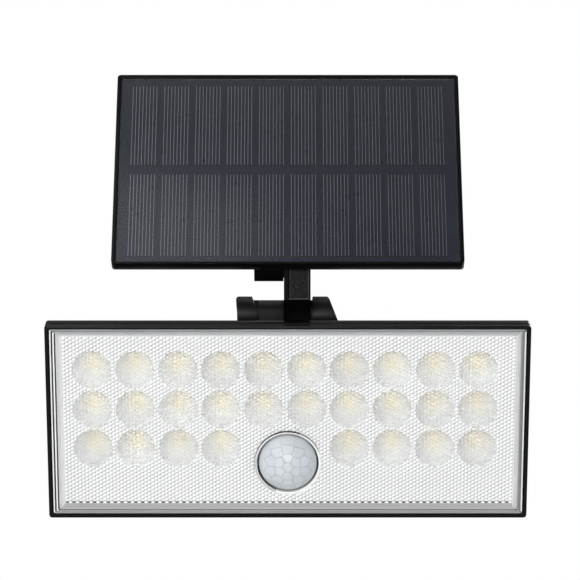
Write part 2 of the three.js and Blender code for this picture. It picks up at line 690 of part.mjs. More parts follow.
// The packages of one row, joined by the copper trace under them.
function ledRow({ columns, rise }) {
  const back = BOARD.front - 0.05;
  const packages = columns.map((x) =>
    block(
      [x - LED_PACKAGE.long / 2, x + LED_PACKAGE.long / 2],
      [back - LED_PACKAGE.thick, back],
      [rise - LED_PACKAGE.tall / 2, rise + LED_PACKAGE.tall / 2],
    ),
  );
  const trace = block([columns[0], columns.at(-1)], [back - 0.1, back], [rise - 0.5, rise + 0.5]);
  return join(trace, ...packages);
}

addTo(lamp, "reflector_tray", reflectorTray(), whitePlastic);
addTo(lamp, "led_board", ledBoard(), whiteBoard);
for (const [name, row] of Object.entries(ledRows)) addTo(lamp, name, ledRow(row), phosphor);

// ---------------------------------------------------------------- motion sensor

// Points of a spherical cap's profile, from its crown to its rim.
function capProfile(radius, rise, rim, steps = 5) {
  const sphere = (radius * radius + rise * rise) / (2 * rise);
  const open = Math.asin(Math.min(1, radius / sphere));
  return Array.from({ length: steps + 1 }, (_, i) => {
    const angle = (i / steps) * open;
    return [sphere * Math.sin(angle), rim - rise + sphere * (1 - Math.cos(angle))];
  });
}

function sensorDome() {
  const { dome, rise, skin, flange } = SENSOR;
  const rim = WINDOW.depth - 0.6;
  const flangeFront = LENS.back + THIN_GAP;
  const outside = capProfile(dome, rise, rim);
  const inside = capProfile(dome - skin, rise - skin * 0.6, rim).reverse();
  inside[inside.length - 1][0] = 0;
  return turnedAlongY(
    [...outside, [dome, flangeFront], [flange, flangeFront], [flange, domeFlangeBack],
      [dome - skin, domeFlangeBack], ...inside],
    sensorAt,
    32,
  );
}

// Rubber ring in the gap between the dome and the lens.
function sensorSeal() {
  const { radius, sealFront } = SENSOR_HOLE;
  return cut(
    rodAlongY(radius - THIN_GAP, sealFront, LENS.back, sensorAt, 32),
    rodAlongY(SENSOR.dome + THIN_GAP, sealFront - 1, LENS.back + 1, sensorAt, 32),
  );
}

function sensorCan() {
  const back = BOARD.front - THIN_GAP;
  return turnedAlongY(
    [[0, back - 4.2], [SENSOR.can - 0.6, back - 4.2], [SENSOR.can - 0.6, back - 0.8],
      [SENSOR.can, back - 0.8], [SENSOR.can, back], [0, back]],
    sensorAt,
  );
}

addTo(lamp, "sensor_dome", sensorDome(), milkyPlastic);
addTo(lamp, "sensor_seal", sensorSeal(), rubber);
addTo(lamp, "sensor_can", sensorCan(), steel);

// ---------------------------------------------------------------- battery and control board

const batteryAt = { y: CELL_18650.depth, z: HUMP.centre };
const batteryEnds = { left: -CELL_18650.length / 2, right: CELL_18650.length / 2 };
const holderEnd = 37;

function batteryCell() {
  const { radius } = CELL_18650;
  const { left, right } = batteryEnds;
  const nub = 2.8;
  return turnedAlongX(
    [[0, left], [radius - 0.5, left], [radius, left + 0.5], [radius, right - 2],
      [radius - 0.6, right - 1.4], [nub, right - 1.4], [nub, right], [0, right]],
    batteryAt,
    18,
  );
}

// Open cradle with an end wall at each side.
function batteryHolder() {
  const { radius, depth } = CELL_18650;
  const front = BOARD.front + BOARD.thick + GAP;
  const halfHeight = radius + 1.6;
  const rises = [HUMP.centre - halfHeight, HUMP.centre + halfHeight];
  return cut(
    block([-holderEnd, holderEnd], [front, depth + 2], rises),
    rodAlongX(radius + GAP, -holderEnd + 1.5, holderEnd - 1.5, batteryAt, 18),
    block([-holderEnd + 1.5, holderEnd - 1.5], [depth, depth + 5], [rises[0] + 1.2, rises[1] - 1.2]),
  );
}

function contactPlate(left) {
  const half = 4;
  return block(
    [left, left + 0.5],
    [batteryAt.y - half, batteryAt.y + half],
    [batteryAt.z - half, batteryAt.z + half],
  );
}

function springContact() {
  const plateLeft = -holderEnd + 1.5 + THIN_GAP;
  const tip = batteryEnds.left - THIN_GAP;
  const coil = turnedAlongX([[0, plateLeft], [3.4, plateLeft], [1.8, tip], [0, tip]], batteryAt, 16);
  return join(contactPlate(plateLeft), coil);
}

function controlBoard() {
  const { left, right, height, front, thick } = CONTROL;
  const middle = (left + right) / 2;
  const outline = roundedRectangle(right - left, height, 1.5, middle, 0);
  const chip = block([middle - 14, middle - 4], [front + thick - 0.2, front + thick + 1.4], [-14, -8]);
  const inductor = rodAlongY(3.5, front + thick - 0.2, front + thick + 3.5, { x: middle + 12, z: -12 }, 20);
  return join(frontPiece(outline, front, front + thick), chip, inductor);
}

// Round insulated wire through points of [x, y, z].
function wire(points) {
  const radius = 0.7;
  const path = new THREE.CatmullRomCurve3(points.map((point) => new THREE.Vector3(...point)));
  const section = disc(radius);
  return solid(
    new THREE.ExtrudeGeometry(section, { extrudePath: path, steps: 10, curveSegments: 2 }),
  );
}

const wireDepth = CONTROL.front + CONTROL.thick + 1.2;
const wireEnd = CONTROL.left + 1;
const positiveWire = wire([
  [holderEnd + 1.5, batteryAt.y - 3, batteryAt.z - 8],
  [holderEnd + 3, wireDepth + 1, batteryAt.z - 6],
  [wireEnd, wireDepth, batteryAt.z - 3],
  [wireEnd + 3, wireDepth, batteryAt.z - 2],
]);
const negativeWire = wire([
  [-holderEnd - 2, batteryAt.y - 3, batteryAt.z - 8],
  [-holderEnd - 1, wireDepth, batteryAt.z - 14.5],
  [0, wireDepth - 1, batteryAt.z - 16],
  [holderEnd, wireDepth, batteryAt.z - 14],
  [wireEnd + 3, wireDepth, batteryAt.z - 12],
]);

addTo(lamp, "battery_cell", batteryCell(), batteryWrap);
addTo(lamp, "battery_holder", batteryHolder(), grainedPlastic);
addTo(lamp, "battery_contact_positive", contactPlate(batteryEnds.right + THIN_GAP), steel);
addTo(lamp, "battery_contact_negative", springContact(), steel);
addTo(lamp, "battery_wire_positive", positiveWire, finish(0xa81f1f, 0.6));
addTo(lamp, "battery_wire_negative", negativeWire, rubber);
addTo(lamp, "control_board", controlBoard(), greenBoard);

// ---------------------------------------------------------------- mode button and lead gland

const buttonAt = { x: BUTTON.x, z: BUTTON.rise };
const switchBack = CONTROL.front + CONTROL.thick + THIN_GAP + 4;
const shellInside = SHELL.back - SHELL.wall;

function tactSwitch() {
  const front = CONTROL.front + CONTROL.thick + THIN_GAP;
  const half = 3;
  const body = block(
    [buttonAt.x - half, buttonAt.x + half],
    [front, switchBack - 0.6],
    [buttonAt.z - half, buttonAt.z + half],
  );
  return join(body, rodAlongY(1.7, front + 1, switchBack, buttonAt, 16));
}

function modeButton() {
  const { cap, flange, travel } = BUTTON;
  const stemTip = switchBack + travel + THIN_GAP;
  const crown = SHELL.back + 1.2;
  return turnedAlongY(
    [[0, stemTip], [1.6, stemTip], [1.6, shellInside - 1.3], [flange, shellInside - 1.3],
      [flange, shellInside - THIN_GAP], [cap, shellInside - THIN_GAP], [cap, crown - 0.6],
      [cap - 0.6, crown], [0, crown + 0.2]],
    buttonAt,
    18,
  );
}

function lampGland() {
  const at = { x: GLAND.x, z: GLAND.rise };
  const body = turnedAlongY(
    [[0, shellInside - 1.5], [4.8, shellInside - 1.5], [4.8, shellInside - THIN_GAP],
      [3.2, shellInside - THIN_GAP], [3.2, SHELL.back + THIN_GAP], [5, SHELL.back + THIN_GAP],
      [5, SHELL.back + 1.6], [2.6, SHELL.back + 6], [0, SHELL.back + 6]],
    at,
  );
  return cut(body, rodAlongY(1.3, 20, 40, at, 12));
}

addTo(lamp, "tact_switch", tactSwitch(), grainedPlastic);
addTo(lamp, "mode_button", modeButton(), rubber);
addTo(lamp, "lamp_gland", lampGland(), rubber);

export default light;
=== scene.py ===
"""Looks of a solar flood light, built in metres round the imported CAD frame.

Lamp and panel pieces are drawn upright in a space of their own: x to the right, y back into the
body, z up its face, with the origin at the centre of the front face. LAMP_SPACE and PANEL_SPACE
put them where the joints hold them.
"""
import json
import math

import bmesh
import bpy
from mathutils import Matrix, Vector, noise


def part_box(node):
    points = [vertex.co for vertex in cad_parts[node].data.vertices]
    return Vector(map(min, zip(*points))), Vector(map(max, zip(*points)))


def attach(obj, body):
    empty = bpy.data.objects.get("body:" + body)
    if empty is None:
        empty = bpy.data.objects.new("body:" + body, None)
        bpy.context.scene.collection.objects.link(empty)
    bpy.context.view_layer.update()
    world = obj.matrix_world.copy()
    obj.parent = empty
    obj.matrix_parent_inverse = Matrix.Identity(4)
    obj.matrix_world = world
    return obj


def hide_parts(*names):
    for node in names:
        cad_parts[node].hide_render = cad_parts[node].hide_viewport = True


MM = 0.001

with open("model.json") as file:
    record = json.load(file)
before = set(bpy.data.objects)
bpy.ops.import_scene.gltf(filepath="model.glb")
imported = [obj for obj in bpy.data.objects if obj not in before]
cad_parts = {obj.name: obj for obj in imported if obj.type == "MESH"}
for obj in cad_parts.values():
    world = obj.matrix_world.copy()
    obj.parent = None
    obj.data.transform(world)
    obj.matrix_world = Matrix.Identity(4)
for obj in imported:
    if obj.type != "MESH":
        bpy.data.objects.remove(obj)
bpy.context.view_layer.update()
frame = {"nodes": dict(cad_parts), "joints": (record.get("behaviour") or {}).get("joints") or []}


# ---------------------------------------------------------------- places and driving dimensions


def joint_point(name):
    return Vector(next(joint["pos_m"] for joint in frame["joints"] if joint["name"] == name))


def tilted_space(pivot, degrees, back, up):
    turn = Matrix.Rotation(math.radians(degrees), 4, "X")
    return Matrix.Translation(pivot) @ turn @ Matrix.Translation((0, back, up))


# Tilt in degrees, then how far the face's centre lies back from its pivot and above it.
LAMP_TILT = 16.9
LAMP_FACE_FROM_PIVOT = (-38.3 * MM, -40.3 * MM)
PANEL_TILT = -28.7
PANEL_FACE_FROM_PIVOT = (-16.8 * MM, 41.7 * MM)

LAMP_SPACE = tilted_space(joint_point("lamp_tilt"), LAMP_TILT, *LAMP_FACE_FROM_PIVOT)
PANEL_SPACE = tilted_space(joint_point("panel_tilt"), PANEL_TILT, *PANEL_FACE_FROM_PIVOT)
UPRIGHT = Matrix.Identity(4)

LAMP_WIDTH = 220 * MM
LAMP_HEIGHT = 92.9 * MM
LAMP_CORNER = 1.4 * MM
BEZEL_ROUNDING = 0.7 * MM
BEZEL_GROOVE = (2.3 * MM, 3.4 * MM)
BEZEL_GROOVE_DEPTH = 0.6 * MM
LENS_WIDTH = 216.2 * MM
LENS_HEIGHT = 89.1 * MM
LENS_FRONT = 0.8 * MM
LENS_BACK = 5.5 * MM
WINDOW_WIDTH = 205.8 * MM
WINDOW_HEIGHT = 80.4 * MM
WINDOW_X = 0.4 * MM
WINDOW_FLOOR = 3.5 * MM
DIMPLE_PITCH = 1.83 * MM
DIMPLE_DEPTH = 0.42 * MM
LAST_BUMP_ROW = 0.8 * MM

TRAY_WIDTH = 212.4 * MM
TRAY_HEIGHT = 85.3 * MM
TRAY_FRONT = 5.9 * MM
TRAY_THICK = 0.9 * MM
CUP_MOUTH = 9.0 * MM
CUP_FLOOR = 4.2 * MM
CUP_END = 14 * MM
CUP_WALL = 0.4 * MM

LED_X = -1.2 * MM
LED_PITCH = 19.55 * MM
LED_COLUMNS = 10
LED_ROW_PITCH = 18.9 * MM
LED_TOP_ROW = 24.4 * MM
LED_BACK = 14.75 * MM
LED_LONG = 3.5 * MM
LED_TALL = 2.8 * MM
LED_THICK = 0.7 * MM

SENSOR_AT = (0, -20.3 * MM)
DOME_RADIUS = 13.3 * MM
DOME_RISE = 6.8 * MM
DOME_RIM = 2.9 * MM
DOME_SKIN = 0.9 * MM
DOME_FLANGE = 14.7 * MM
DOME_HOLE = 14.2 * MM
COLLAR_RADIUS = 15.4 * MM
TUBE_RADIUS = 15.9 * MM
TUBE_BORE = 12.6 * MM
SEAT_RADIUS = 15.1 * MM
SEAT_BACK = 6.9 * MM

PANEL_WIDTH = 160 * MM
PANEL_HEIGHT = 101.5 * MM
LAMINATE_INSET = 2.05 * MM
LAMINATE_BOTTOM_INSET = 0.95 * MM
FILM_FRONT = 0.4 * MM
FILM_BACK = 0.9 * MM
CELL_FRONT = 1.0 * MM
CELL_THICK = 0.2 * MM
CELL_ACROSS = 13 * MM
CELL_TALL = 43.6 * MM
CELL_PITCH = 14.83 * MM
CELL_X = -0.2 * MM
CELLS_PER_ROW = 10
CELL_RISES = {"upper": 23.4 * MM, "lower": -24.9 * MM}
FINGERS_PER_CELL = 8
FINGER_PITCH = 1.59 * MM
FINGER_WIDE = 0.18 * MM
FINGER_TALL = 43.0 * MM


# ---------------------------------------------------------------- meshes


def object_from(mesh, name):
    piece = bpy.data.objects.new(name, mesh)
    bpy.context.scene.collection.objects.link(piece)
    return piece


def closed_mesh(points, faces):
    """A mesh of these points and faces with double points merged and its faces turned outwards."""
    mesh = bpy.data.meshes.new("body")
    mesh.from_pydata(points, [], faces)
    form = bmesh.new()
    form.from_mesh(mesh)
    bmesh.ops.remove_doubles(form, verts=form.verts, dist=1e-7)
    bmesh.ops.recalc_face_normals(form, faces=form.faces)
    form.to_mesh(mesh)
    form.free()
    return mesh


def arc(centre, radius, start, end, steps):
    """Points of a circular arc, with its angles in quarter turns."""
    turns = [start + (end - start) * i / steps for i in range(steps + 1)]
    angles = [turn * math.pi / 2 for turn in turns]
    return [(centre[0] + radius * math.cos(a), centre[1] + radius * math.sin(a)) for a in angles]


def rounded_rectangle(width, height, radius, centre=(0, 0), steps=6):
    across, up = width / 2 - radius, height / 2 - radius
    corners = [(1, 1), (-1, 1), (-1, -1), (1, -1)]
    points = []
    for quarter, (side, end) in enumerate(corners):
        middle = (centre[0] + side * across, centre[1] + end * up)
        points += arc(middle, radius, quarter, quarter + 1, steps)
    return points


def lofted(rings):
    """A closed body through rings of equally many points, capped at the first and the last."""
    count = len(rings[0])
    points = [point for ring in rings for point in ring]
    faces = [tuple(range(count)), tuple((len(rings) - 1) * count + i for i in range(count))]
    for level in range(len(rings) - 1):
        near, far = level * count, (level + 1) * count
        for i in range(count):
            after = (i + 1) % count
            faces.append((near + i, near + after, far + after, far + i))
    return closed_mesh(points, faces)


def frontal(outline, depth):
    return [(x, depth, z) for x, z in outline]


def slab(outline, near, far):
    return lofted([frontal(outline, near), frontal(outline, far)])


def turned(profile, at=(0, 0), steps=48):
    """A profile of (radius, depth) turned round the line through at that runs along y."""
    rings = []
    for radius, depth in profile:
        wide = max(radius, 1e-6)
        circle = arc(at, wide, 0, 4, steps)[:-1]
        rings.append(frontal(circle, depth))
    return lofted(rings)


def box_mesh(centre, size):
    outline = rounded_rectangle(size[0], size[2], min(size[0], size[2]) * 0.02, (centre[0], centre[2]), 1)
    return slab(outline, centre[1] - size[1] / 2, centre[1] + size[1] / 2)


def together(meshes):
    """Several meshes as one, without joining where they meet."""
    form = bmesh.new()
    for mesh in meshes:
        form.from_mesh(mesh)
    whole = bpy.data.meshes.new("body")
    form.to_mesh(whole)
    form.free()
    return whole


def combined(mesh, *steps):
    """The mesh after boolean steps, each an operation and the mesh it uses."""
    body = object_from(mesh, "body")
    tools = []
    for operation, tool_mesh in steps:
        tool = object_from(tool_mesh, "tool")
        tools.append(tool)
        modifier = body.modifiers.new("boolean", "BOOLEAN")
        modifier.operation = operation
        modifier.solver = "MANIFOLD"
        modifier.object = tool
    bpy.context.view_layer.update()
    evaluated = body.evaluated_get(bpy.context.evaluated_depsgraph_get())
    result = bpy.data.meshes.new_from_object(evaluated)
    for used in [body, *tools]:
        bpy.data.objects.remove(used)
    return result


def smooth_below(mesh, degrees):
    """Smooth shading over edges that turn less than this angle, and a crease at the others."""
    for polygon in mesh.polygons:
        polygon.use_smooth = True
    mesh.set_sharp_from_angle(angle=math.radians(degrees))


def tidied(mesh):
    """The mesh with flat neighbouring faces merged, as rounding its edges needs."""
    form = bmesh.new()
    form.from_mesh(mesh)
    bmesh.ops.remove_doubles(form, verts=form.verts, dist=2e-6)
    bmesh.ops.dissolve_limit(
        form, angle_limit=math.radians(0.5), verts=form.verts, edges=form.edges,
    )
    clean = bpy.data.meshes.new("body")
    form.to_mesh(clean)
    form.free()
    return clean


def with_rounded_edges(mesh, width, name, segments=3, degrees=34):
    """The mesh with its edges rounded over. Material 1 is the roundings."""
    piece = object_from(tidied(mesh), name)
    piece.data.materials.append(None)
    piece.data.materials.append(None)
    bevel = piece.modifiers.new("edges", "BEVEL")
    bevel.width = width
    bevel.segments = segments
    bevel.limit_method = "ANGLE"
    bevel.angle_limit = math.radians(degrees)
    bevel.miter_outer = "MITER_ARC"
    bevel.material = 1
    bpy.context.view_layer.update()
    evaluated = piece.evaluated_get(bpy.context.evaluated_depsgraph_get())
    rounded = bpy.data.meshes.new_from_object(evaluated)
    piece.modifiers.clear()
    piece.data = rounded
    smooth_below(rounded, degrees)
    return piece


def bare_copy(node):
    """The mesh of a CAD node as plain points and faces."""
    source = frame["nodes"][node].data
    return closed_mesh(
        [tuple(vertex.co) for vertex in source.vertices],
        [tuple(polygon.vertices) for polygon in source.polygons],
    )


# ---------------------------------------------------------------- materials


class Finish:
    """A procedural material: a Principled shader and what feeds it."""

    def __init__(self, name, colour, roughness, metallic=0.0):
        self.material = bpy.data.materials.new(name)
        self.material.use_nodes = True
        self.tree = self.material.node_tree
        self.shader = next(n for n in self.tree.nodes if n.type == "BSDF_PRINCIPLED")
        self.output = next(n for n in self.tree.nodes if n.type == "OUTPUT_MATERIAL")
        self.shader.inputs["Base Color"].default_value = (*colour, 1)
        self.shader.inputs["Roughness"].default_value = roughness
        self.shader.inputs["Metallic"].default_value = metallic
        self.colour = colour
        self.roughness = roughness
        self.place = self.node("ShaderNodeTexCoord").outputs["Object"]

    def node(self, kind, **settings):
        made = self.tree.nodes.new(kind)
        for key, value in settings.items():
            setattr(made, key, value)
        return made

    def link(self, source, target):
        self.tree.links.new(source, target)

    def set(self, **values):
        for key, value in values.items():
            self.shader.inputs[key.replace("_", " ").title()].default_value = value
        return self

    def noise(self, size, detail=4.0, stretch=(1, 1, 1)):
        """Noise between 0 and 1 whose blotches are about this size."""
        mapping = self.node("ShaderNodeMapping")
        mapping.inputs["Scale"].default_value = stretch
        texture = self.node("ShaderNodeTexNoise")
        texture.inputs["Scale"].default_value = 1 / size
        texture.inputs["Detail"].default_value = detail
        self.link(self.place, mapping.inputs["Vector"])
        self.link(mapping.outputs["Vector"], texture.inputs["Vector"])
        return texture.outputs["Fac"]

    def spread(self, factor, low, high):
        """A factor's middle range stretched to run from low to high."""
        ramp = self.node("ShaderNodeMapRange")
        ramp.inputs["From Min"].default_value = 0.3
        ramp.inputs["From Max"].default_value = 0.7
        ramp.inputs["To Min"].default_value = low
        ramp.inputs["To Max"].default_value = high
        self.link(factor, ramp.inputs["Value"])
        return ramp.outputs["Result"]

    def blotches(self, size, amount):
        """Lets the colour drift by this share over blotches of this size."""
        drift = self.spread(self.noise(size), 1 - amount, 1 + amount)
        mix = self.node("ShaderNodeVectorMath", operation="SCALE")
        mix.inputs[0].default_value = self.colour
        self.link(drift, mix.inputs["Scale"])
        self.link(mix.outputs["Vector"], self.shader.inputs["Base Color"])
        return self

    def uneven_gloss(self, size, amount):
        gloss = self.spread(self.noise(size), self.roughness - amount, self.roughness + amount)
        self.link(gloss, self.shader.inputs["Roughness"])
        return self

    def bumps(self, *layers):
        """Surface relief from layers of (blotch size, height, stretch)."""
        previous = None
        for size, height, stretch in layers:
            bump = self.node("ShaderNodeBump")
            bump.inputs["Strength"].default_value = 1
            bump.inputs["Distance"].default_value = height
            self.link(self.noise(size, 2.0, stretch), bump.inputs["Height"])
            if previous:
                self.link(previous, bump.inputs["Normal"])
            previous = bump.outputs["Normal"]
        self.link(previous, self.shader.inputs["Normal"])
        return self

    def lets_lamps_through(self, tint):
        """Clear plastic that casts only a faint shadow, so that what lies behind it is lit."""
        path = self.node("ShaderNodeLightPath")
        clear = self.node("ShaderNodeBsdfTransparent")
        clear.inputs["Color"].default_value = (*tint, 1)
        mix = self.node("ShaderNodeMixShader")
        self.link(path.outputs["Is Shadow Ray"], mix.inputs["Fac"])
        self.link(self.shader.outputs["BSDF"], mix.inputs[1])
        self.link(clear.outputs["BSDF"], mix.inputs[2])
        self.link(mix.outputs["Shader"], self.output.inputs["Surface"])
        return self


EVEN = (1, 1, 1)


def moulded(name, colour, roughness, spark=0.30 * MM, relief=0.006 * MM, shine=0.5):
    """Injection-moulded plastic: fine spark-eroded texture, slight drift in colour and gloss."""
    finish = Finish(name, colour, roughness)
    finish.shader.inputs["Specular IOR Level"].default_value = shine
    finish.blotches(24 * MM, 0.10)
    finish.uneven_gloss(9 * MM, 0.05)
    finish.bumps((spark, relief, EVEN), (spark * 6, relief * 0.6, EVEN))
    return finish.material


def turned_steel(name, colour, roughness):
    """Plated steel with fine scratches and a blotchy sheen."""
    finish = Finish(name, colour, roughness, metallic=1.0)
    finish.blotches(1.6 * MM, 0.12)
    finish.uneven_gloss(1.1 * MM, 0.09)
    finish.bumps((0.12 * MM, 0.002 * MM, (1, 6, 1)))
    return finish.material


def lens_plastic(name, clearness, valley=0.0, side=0.0, colour=(0.985, 0.99, 0.99)):
    """Clear moulded plastic with some haze. On patterned stretches the colour is painted darker by these
    shares, in the valleys between bumps and on the bumps' lower right sides. The shade is fixed to
    the lens and doesn't follow the lamps."""
    finish = Finish(name, colour, 0.04)
    finish.set(transmission_weight=clearness)
    finish.shader.inputs["IOR"].default_value = 1.49
    if valley or side:
        normal = finish.node("ShaderNodeTexCoord").outputs["Normal"]
        shares = []
        for direction, start, end, darkening in [
            ((0, -1, 0), 0.975, 0.85, valley),
            ((0.5, 0, -0.866), 0.12, 0.50, side),
        ]:
            lean = finish.node("ShaderNodeVectorMath", operation="DOT_PRODUCT")
            lean.inputs[1].default_value = direction
            finish.link(normal, lean.inputs[0])
            ramp = finish.node("ShaderNodeMapRange")
            ramp.inputs["From Min"].default_value = start
            ramp.inputs["From Max"].default_value = end
            ramp.inputs["To Min"].default_value = 1
            ramp.inputs["To Max"].default_value = 1 - darkening
            finish.link(lean.outputs["Value"], ramp.inputs["Value"])
            shares.append(ramp.outputs["Result"])
        both = finish.node("ShaderNodeMath", operation="MULTIPLY")
        finish.link(shares[0], both.inputs[0])
        finish.link(shares[1], both.inputs[1])
        tint = finish.node("ShaderNodeVectorMath", operation="SCALE")
        tint.inputs[0].default_value = finish.colour
        finish.link(both.outputs["Value"], tint.inputs["Scale"])
        finish.link(tint.outputs["Vector"], finish.shader.inputs["Base Color"])
    return finish.lets_lamps_through((0.8, 0.805, 0.805)).material


def panel_film():
    """Clear resin skin over the cells: hardly seen itself, but it mirrors the sky."""
    finish = Finish("panel_film", (1, 1, 1), 0.22)
    clear = finish.node("ShaderNodeBsdfTransparent")
    clear.inputs["Color"].default_value = (0.93, 0.94, 0.96, 1)
    mirror = finish.node("ShaderNodeBsdfGlossy")
    gloss = finish.spread(finish.noise(11 * MM), 0.21, 0.23)
    finish.link(gloss, mirror.inputs["Roughness"])
    edge = finish.node("ShaderNodeFresnel")
    edge.inputs["IOR"].default_value = 1.46
    mix = finish.node("ShaderNodeMixShader")
    finish.link(edge.outputs["Fac"], mix.inputs["Fac"])
    finish.link(clear.outputs["BSDF"], mix.inputs[1])
    finish.link(mirror.outputs["BSDF"], mix.inputs[2])
    finish.link(mix.outputs["Shader"], finish.output.inputs["Surface"])
    finish.tree.nodes.remove(finish.shader)
    return finish.material


def silicon():
    """Dark blue-black cells with the faint grain of cast silicon."""
    finish = Finish("cell_silicon", (0.016, 0.018, 0.030), 0.32)
    crystals = finish.node("ShaderNodeTexVoronoi")
    crystals.inputs["Scale"].default_value = 1 / (2.6 * MM)
    finish.link(finish.place, crystals.inputs["Vector"])
    grain = finish.node("ShaderNodeMapRange")
    grain.inputs["To Min"].default_value = 0.75
    grain.inputs["To Max"].default_value = 1.3
    finish.link(crystals.outputs["Color"], grain.inputs["Value"])
    tint = finish.node("ShaderNodeVectorMath", operation="SCALE")
    tint.inputs[0].default_value = finish.colour
    finish.link(grain.outputs["Result"], tint.inputs["Scale"])
    finish.link(tint.outputs["Vector"], finish.shader.inputs["Base Color"])
    finish.uneven_gloss(6 * MM, 0.06)
    return finish.material


def milky_plastic(name, colour):
    finish = Finish(name, colour, 0.34)
    finish.set(subsurface_weight=0.35)
    finish.shader.inputs["Subsurface Radius"].default_value = (1.0, 1.0, 1.0)
    finish.shader.inputs["Subsurface Scale"].default_value = 1.5 * MM
    finish.blotches(7 * MM, 0.05)
    finish.uneven_gloss(3 * MM, 0.05)
    finish.bumps((0.5 * MM, 0.008 * MM, EVEN))
    return finish.material


def phosphor():
    finish = Finish("led_phosphor", (0.98, 0.74, 0.20), 0.45)
    finish.blotches(0.5 * MM, 0.12)
    finish.bumps((0.2 * MM, 0.01 * MM, EVEN))
    return finish.material


BLACK = moulded("black_abs_moulded", (0.006, 0.006, 0.0062), 0.5, shine=0.25)
# A darker copy of the black ABS for the arm and the panel's hinge block: painted shade, as they sit in
# shadow under the panel.
SHADED_BLACK = moulded("black_abs_painted_shade", (0.002, 0.002, 0.0021), 0.55, shine=0.05)
BLACK_GLOSS = moulded("black_abs_rim", (0.003, 0.003, 0.0031), 0.22, 0.5 * MM, 0.003 * MM, shine=0.15)
# Lighter black for rounded edges and rims: a painted highlight along them.
EDGE_HIGHLIGHT = moulded("black_abs_painted_edge_highlight", (0.13, 0.13, 0.132), 0.35, shine=0.6)
GRAINED = moulded("grained_abs_moulded", (0.004, 0.004, 0.0042), 0.45, 0.16 * MM, 0.008 * MM, shine=0.12)
STEEL = turned_steel("zinc_plated", (0.60, 0.61, 0.62), 0.30)
DARK_STEEL = turned_steel("black_zinc_plated", (0.10, 0.10, 0.105), 0.40)
RUBBER = moulded("black_rubber_moulded", (0.012, 0.012, 0.012), 0.78, 0.2 * MM, 0.01 * MM)
WHITE = moulded("white_reflector_moulded", (0.74, 0.745, 0.74), 0.5, 0.4 * MM, 0.003 * MM, shine=0.3)
# White solder mask painted cream-yellow: a painted reflection of the LEDs' phosphor, seen on the cup
# floors.
BOARD_WITH_PAINTED_REFLECTION = moulded("solder_mask_with_painted_phosphor_reflection", (0.95, 0.84, 0.50), 0.42, 0.25 * MM, 0.002 * MM)
PACKAGE_WHITE = moulded("led_package_white", (0.85, 0.85, 0.82), 0.4, 0.2 * MM, 0.002 * MM)
GREEN = moulded("green_solder_mask", (0.012, 0.095, 0.045), 0.35, 0.3 * MM, 0.002 * MM)
WRAP = moulded("battery_sleeve", (0.03, 0.16, 0.42), 0.3, 1.2 * MM, 0.01 * MM)
HOLDER = moulded("holder_plastic_moulded", (0.02, 0.02, 0.021), 0.5)
WIRE_RED = moulded("wire_red_sleeve", (0.45, 0.02, 0.015), 0.45, 0.5 * MM, 0.004 * MM)
WIRE_BLACK = moulded("wire_black_sleeve", (0.015, 0.015, 0.015), 0.45, 0.5 * MM, 0.004 * MM)
BACKING = moulded("cell_backing_sheet", (0.016, 0.019, 0.034), 0.4, 0.3 * MM, 0.003 * MM)
SILVER = turned_steel("screen_printed_silver", (0.62, 0.63, 0.66), 0.42)
LENS_CLEAR = lens_plastic("lens_clear", 0.96)
# The shaded, band, grey and pale lens finishes are painted shade and painted reflection: dark and grey
# tones in clear plastic.
LENS_SHADED = lens_plastic("lens_shaded_edge", 0.30, colour=(0.02, 0.022, 0.023))
LENS_BAND = lens_plastic("lens_grey_band", 0.40, colour=(0.35, 0.355, 0.36))
LENS_GREY = lens_plastic("lens_grey", 0.35, colour=(0.50, 0.51, 0.52))
LENS_PALE = lens_plastic("lens_pale_band", 0.40, colour=(0.66, 0.66, 0.655))
LENS_HAZY = lens_plastic("lens_hazy", 0.15)
LENS_BUMPS = lens_plastic("lens_bumps", 0.15, valley=0.20, side=0.55)
# Over the reflector cups the lens is clearer, its painted shade on the bumps weaker and its colour
# painted greyer.
LENS_BUMPS_OVER_CUPS = lens_plastic(
    "lens_bumps_over_cups", 0.70, valley=0.05, side=0.12, colour=(0.82, 0.825, 0.825),
)
FILM = panel_film()
SILICON = silicon()
MILKY = milky_plastic("milky_dome", (0.62, 0.65, 0.68))
MILKY_SEAM_SHADE = milky_plastic("milky_dome_painted_seam_shade", (0.50, 0.53, 0.56))
PHOSPHOR = phosphor()


def settle(piece, space, body, slot, materials, *nodes):
    """Puts a finished piece in place on its body, in its finish, for the CAD nodes it stands for."""
    finishes = materials if isinstance(materials, list) else [materials]
    last = len(finishes) - 1
    places = [min(polygon.material_index, last) for polygon in piece.data.polygons]
    piece.data.materials.clear()
    for material in finishes:
        piece.data.materials.append(material)
    piece.data.polygons.foreach_set("material_index", places)
    piece.matrix_world = space
    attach(piece, body)
    if nodes:
        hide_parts(*nodes)
    return piece


# ---------------------------------------------------------------- pieces that keep their CAD shape

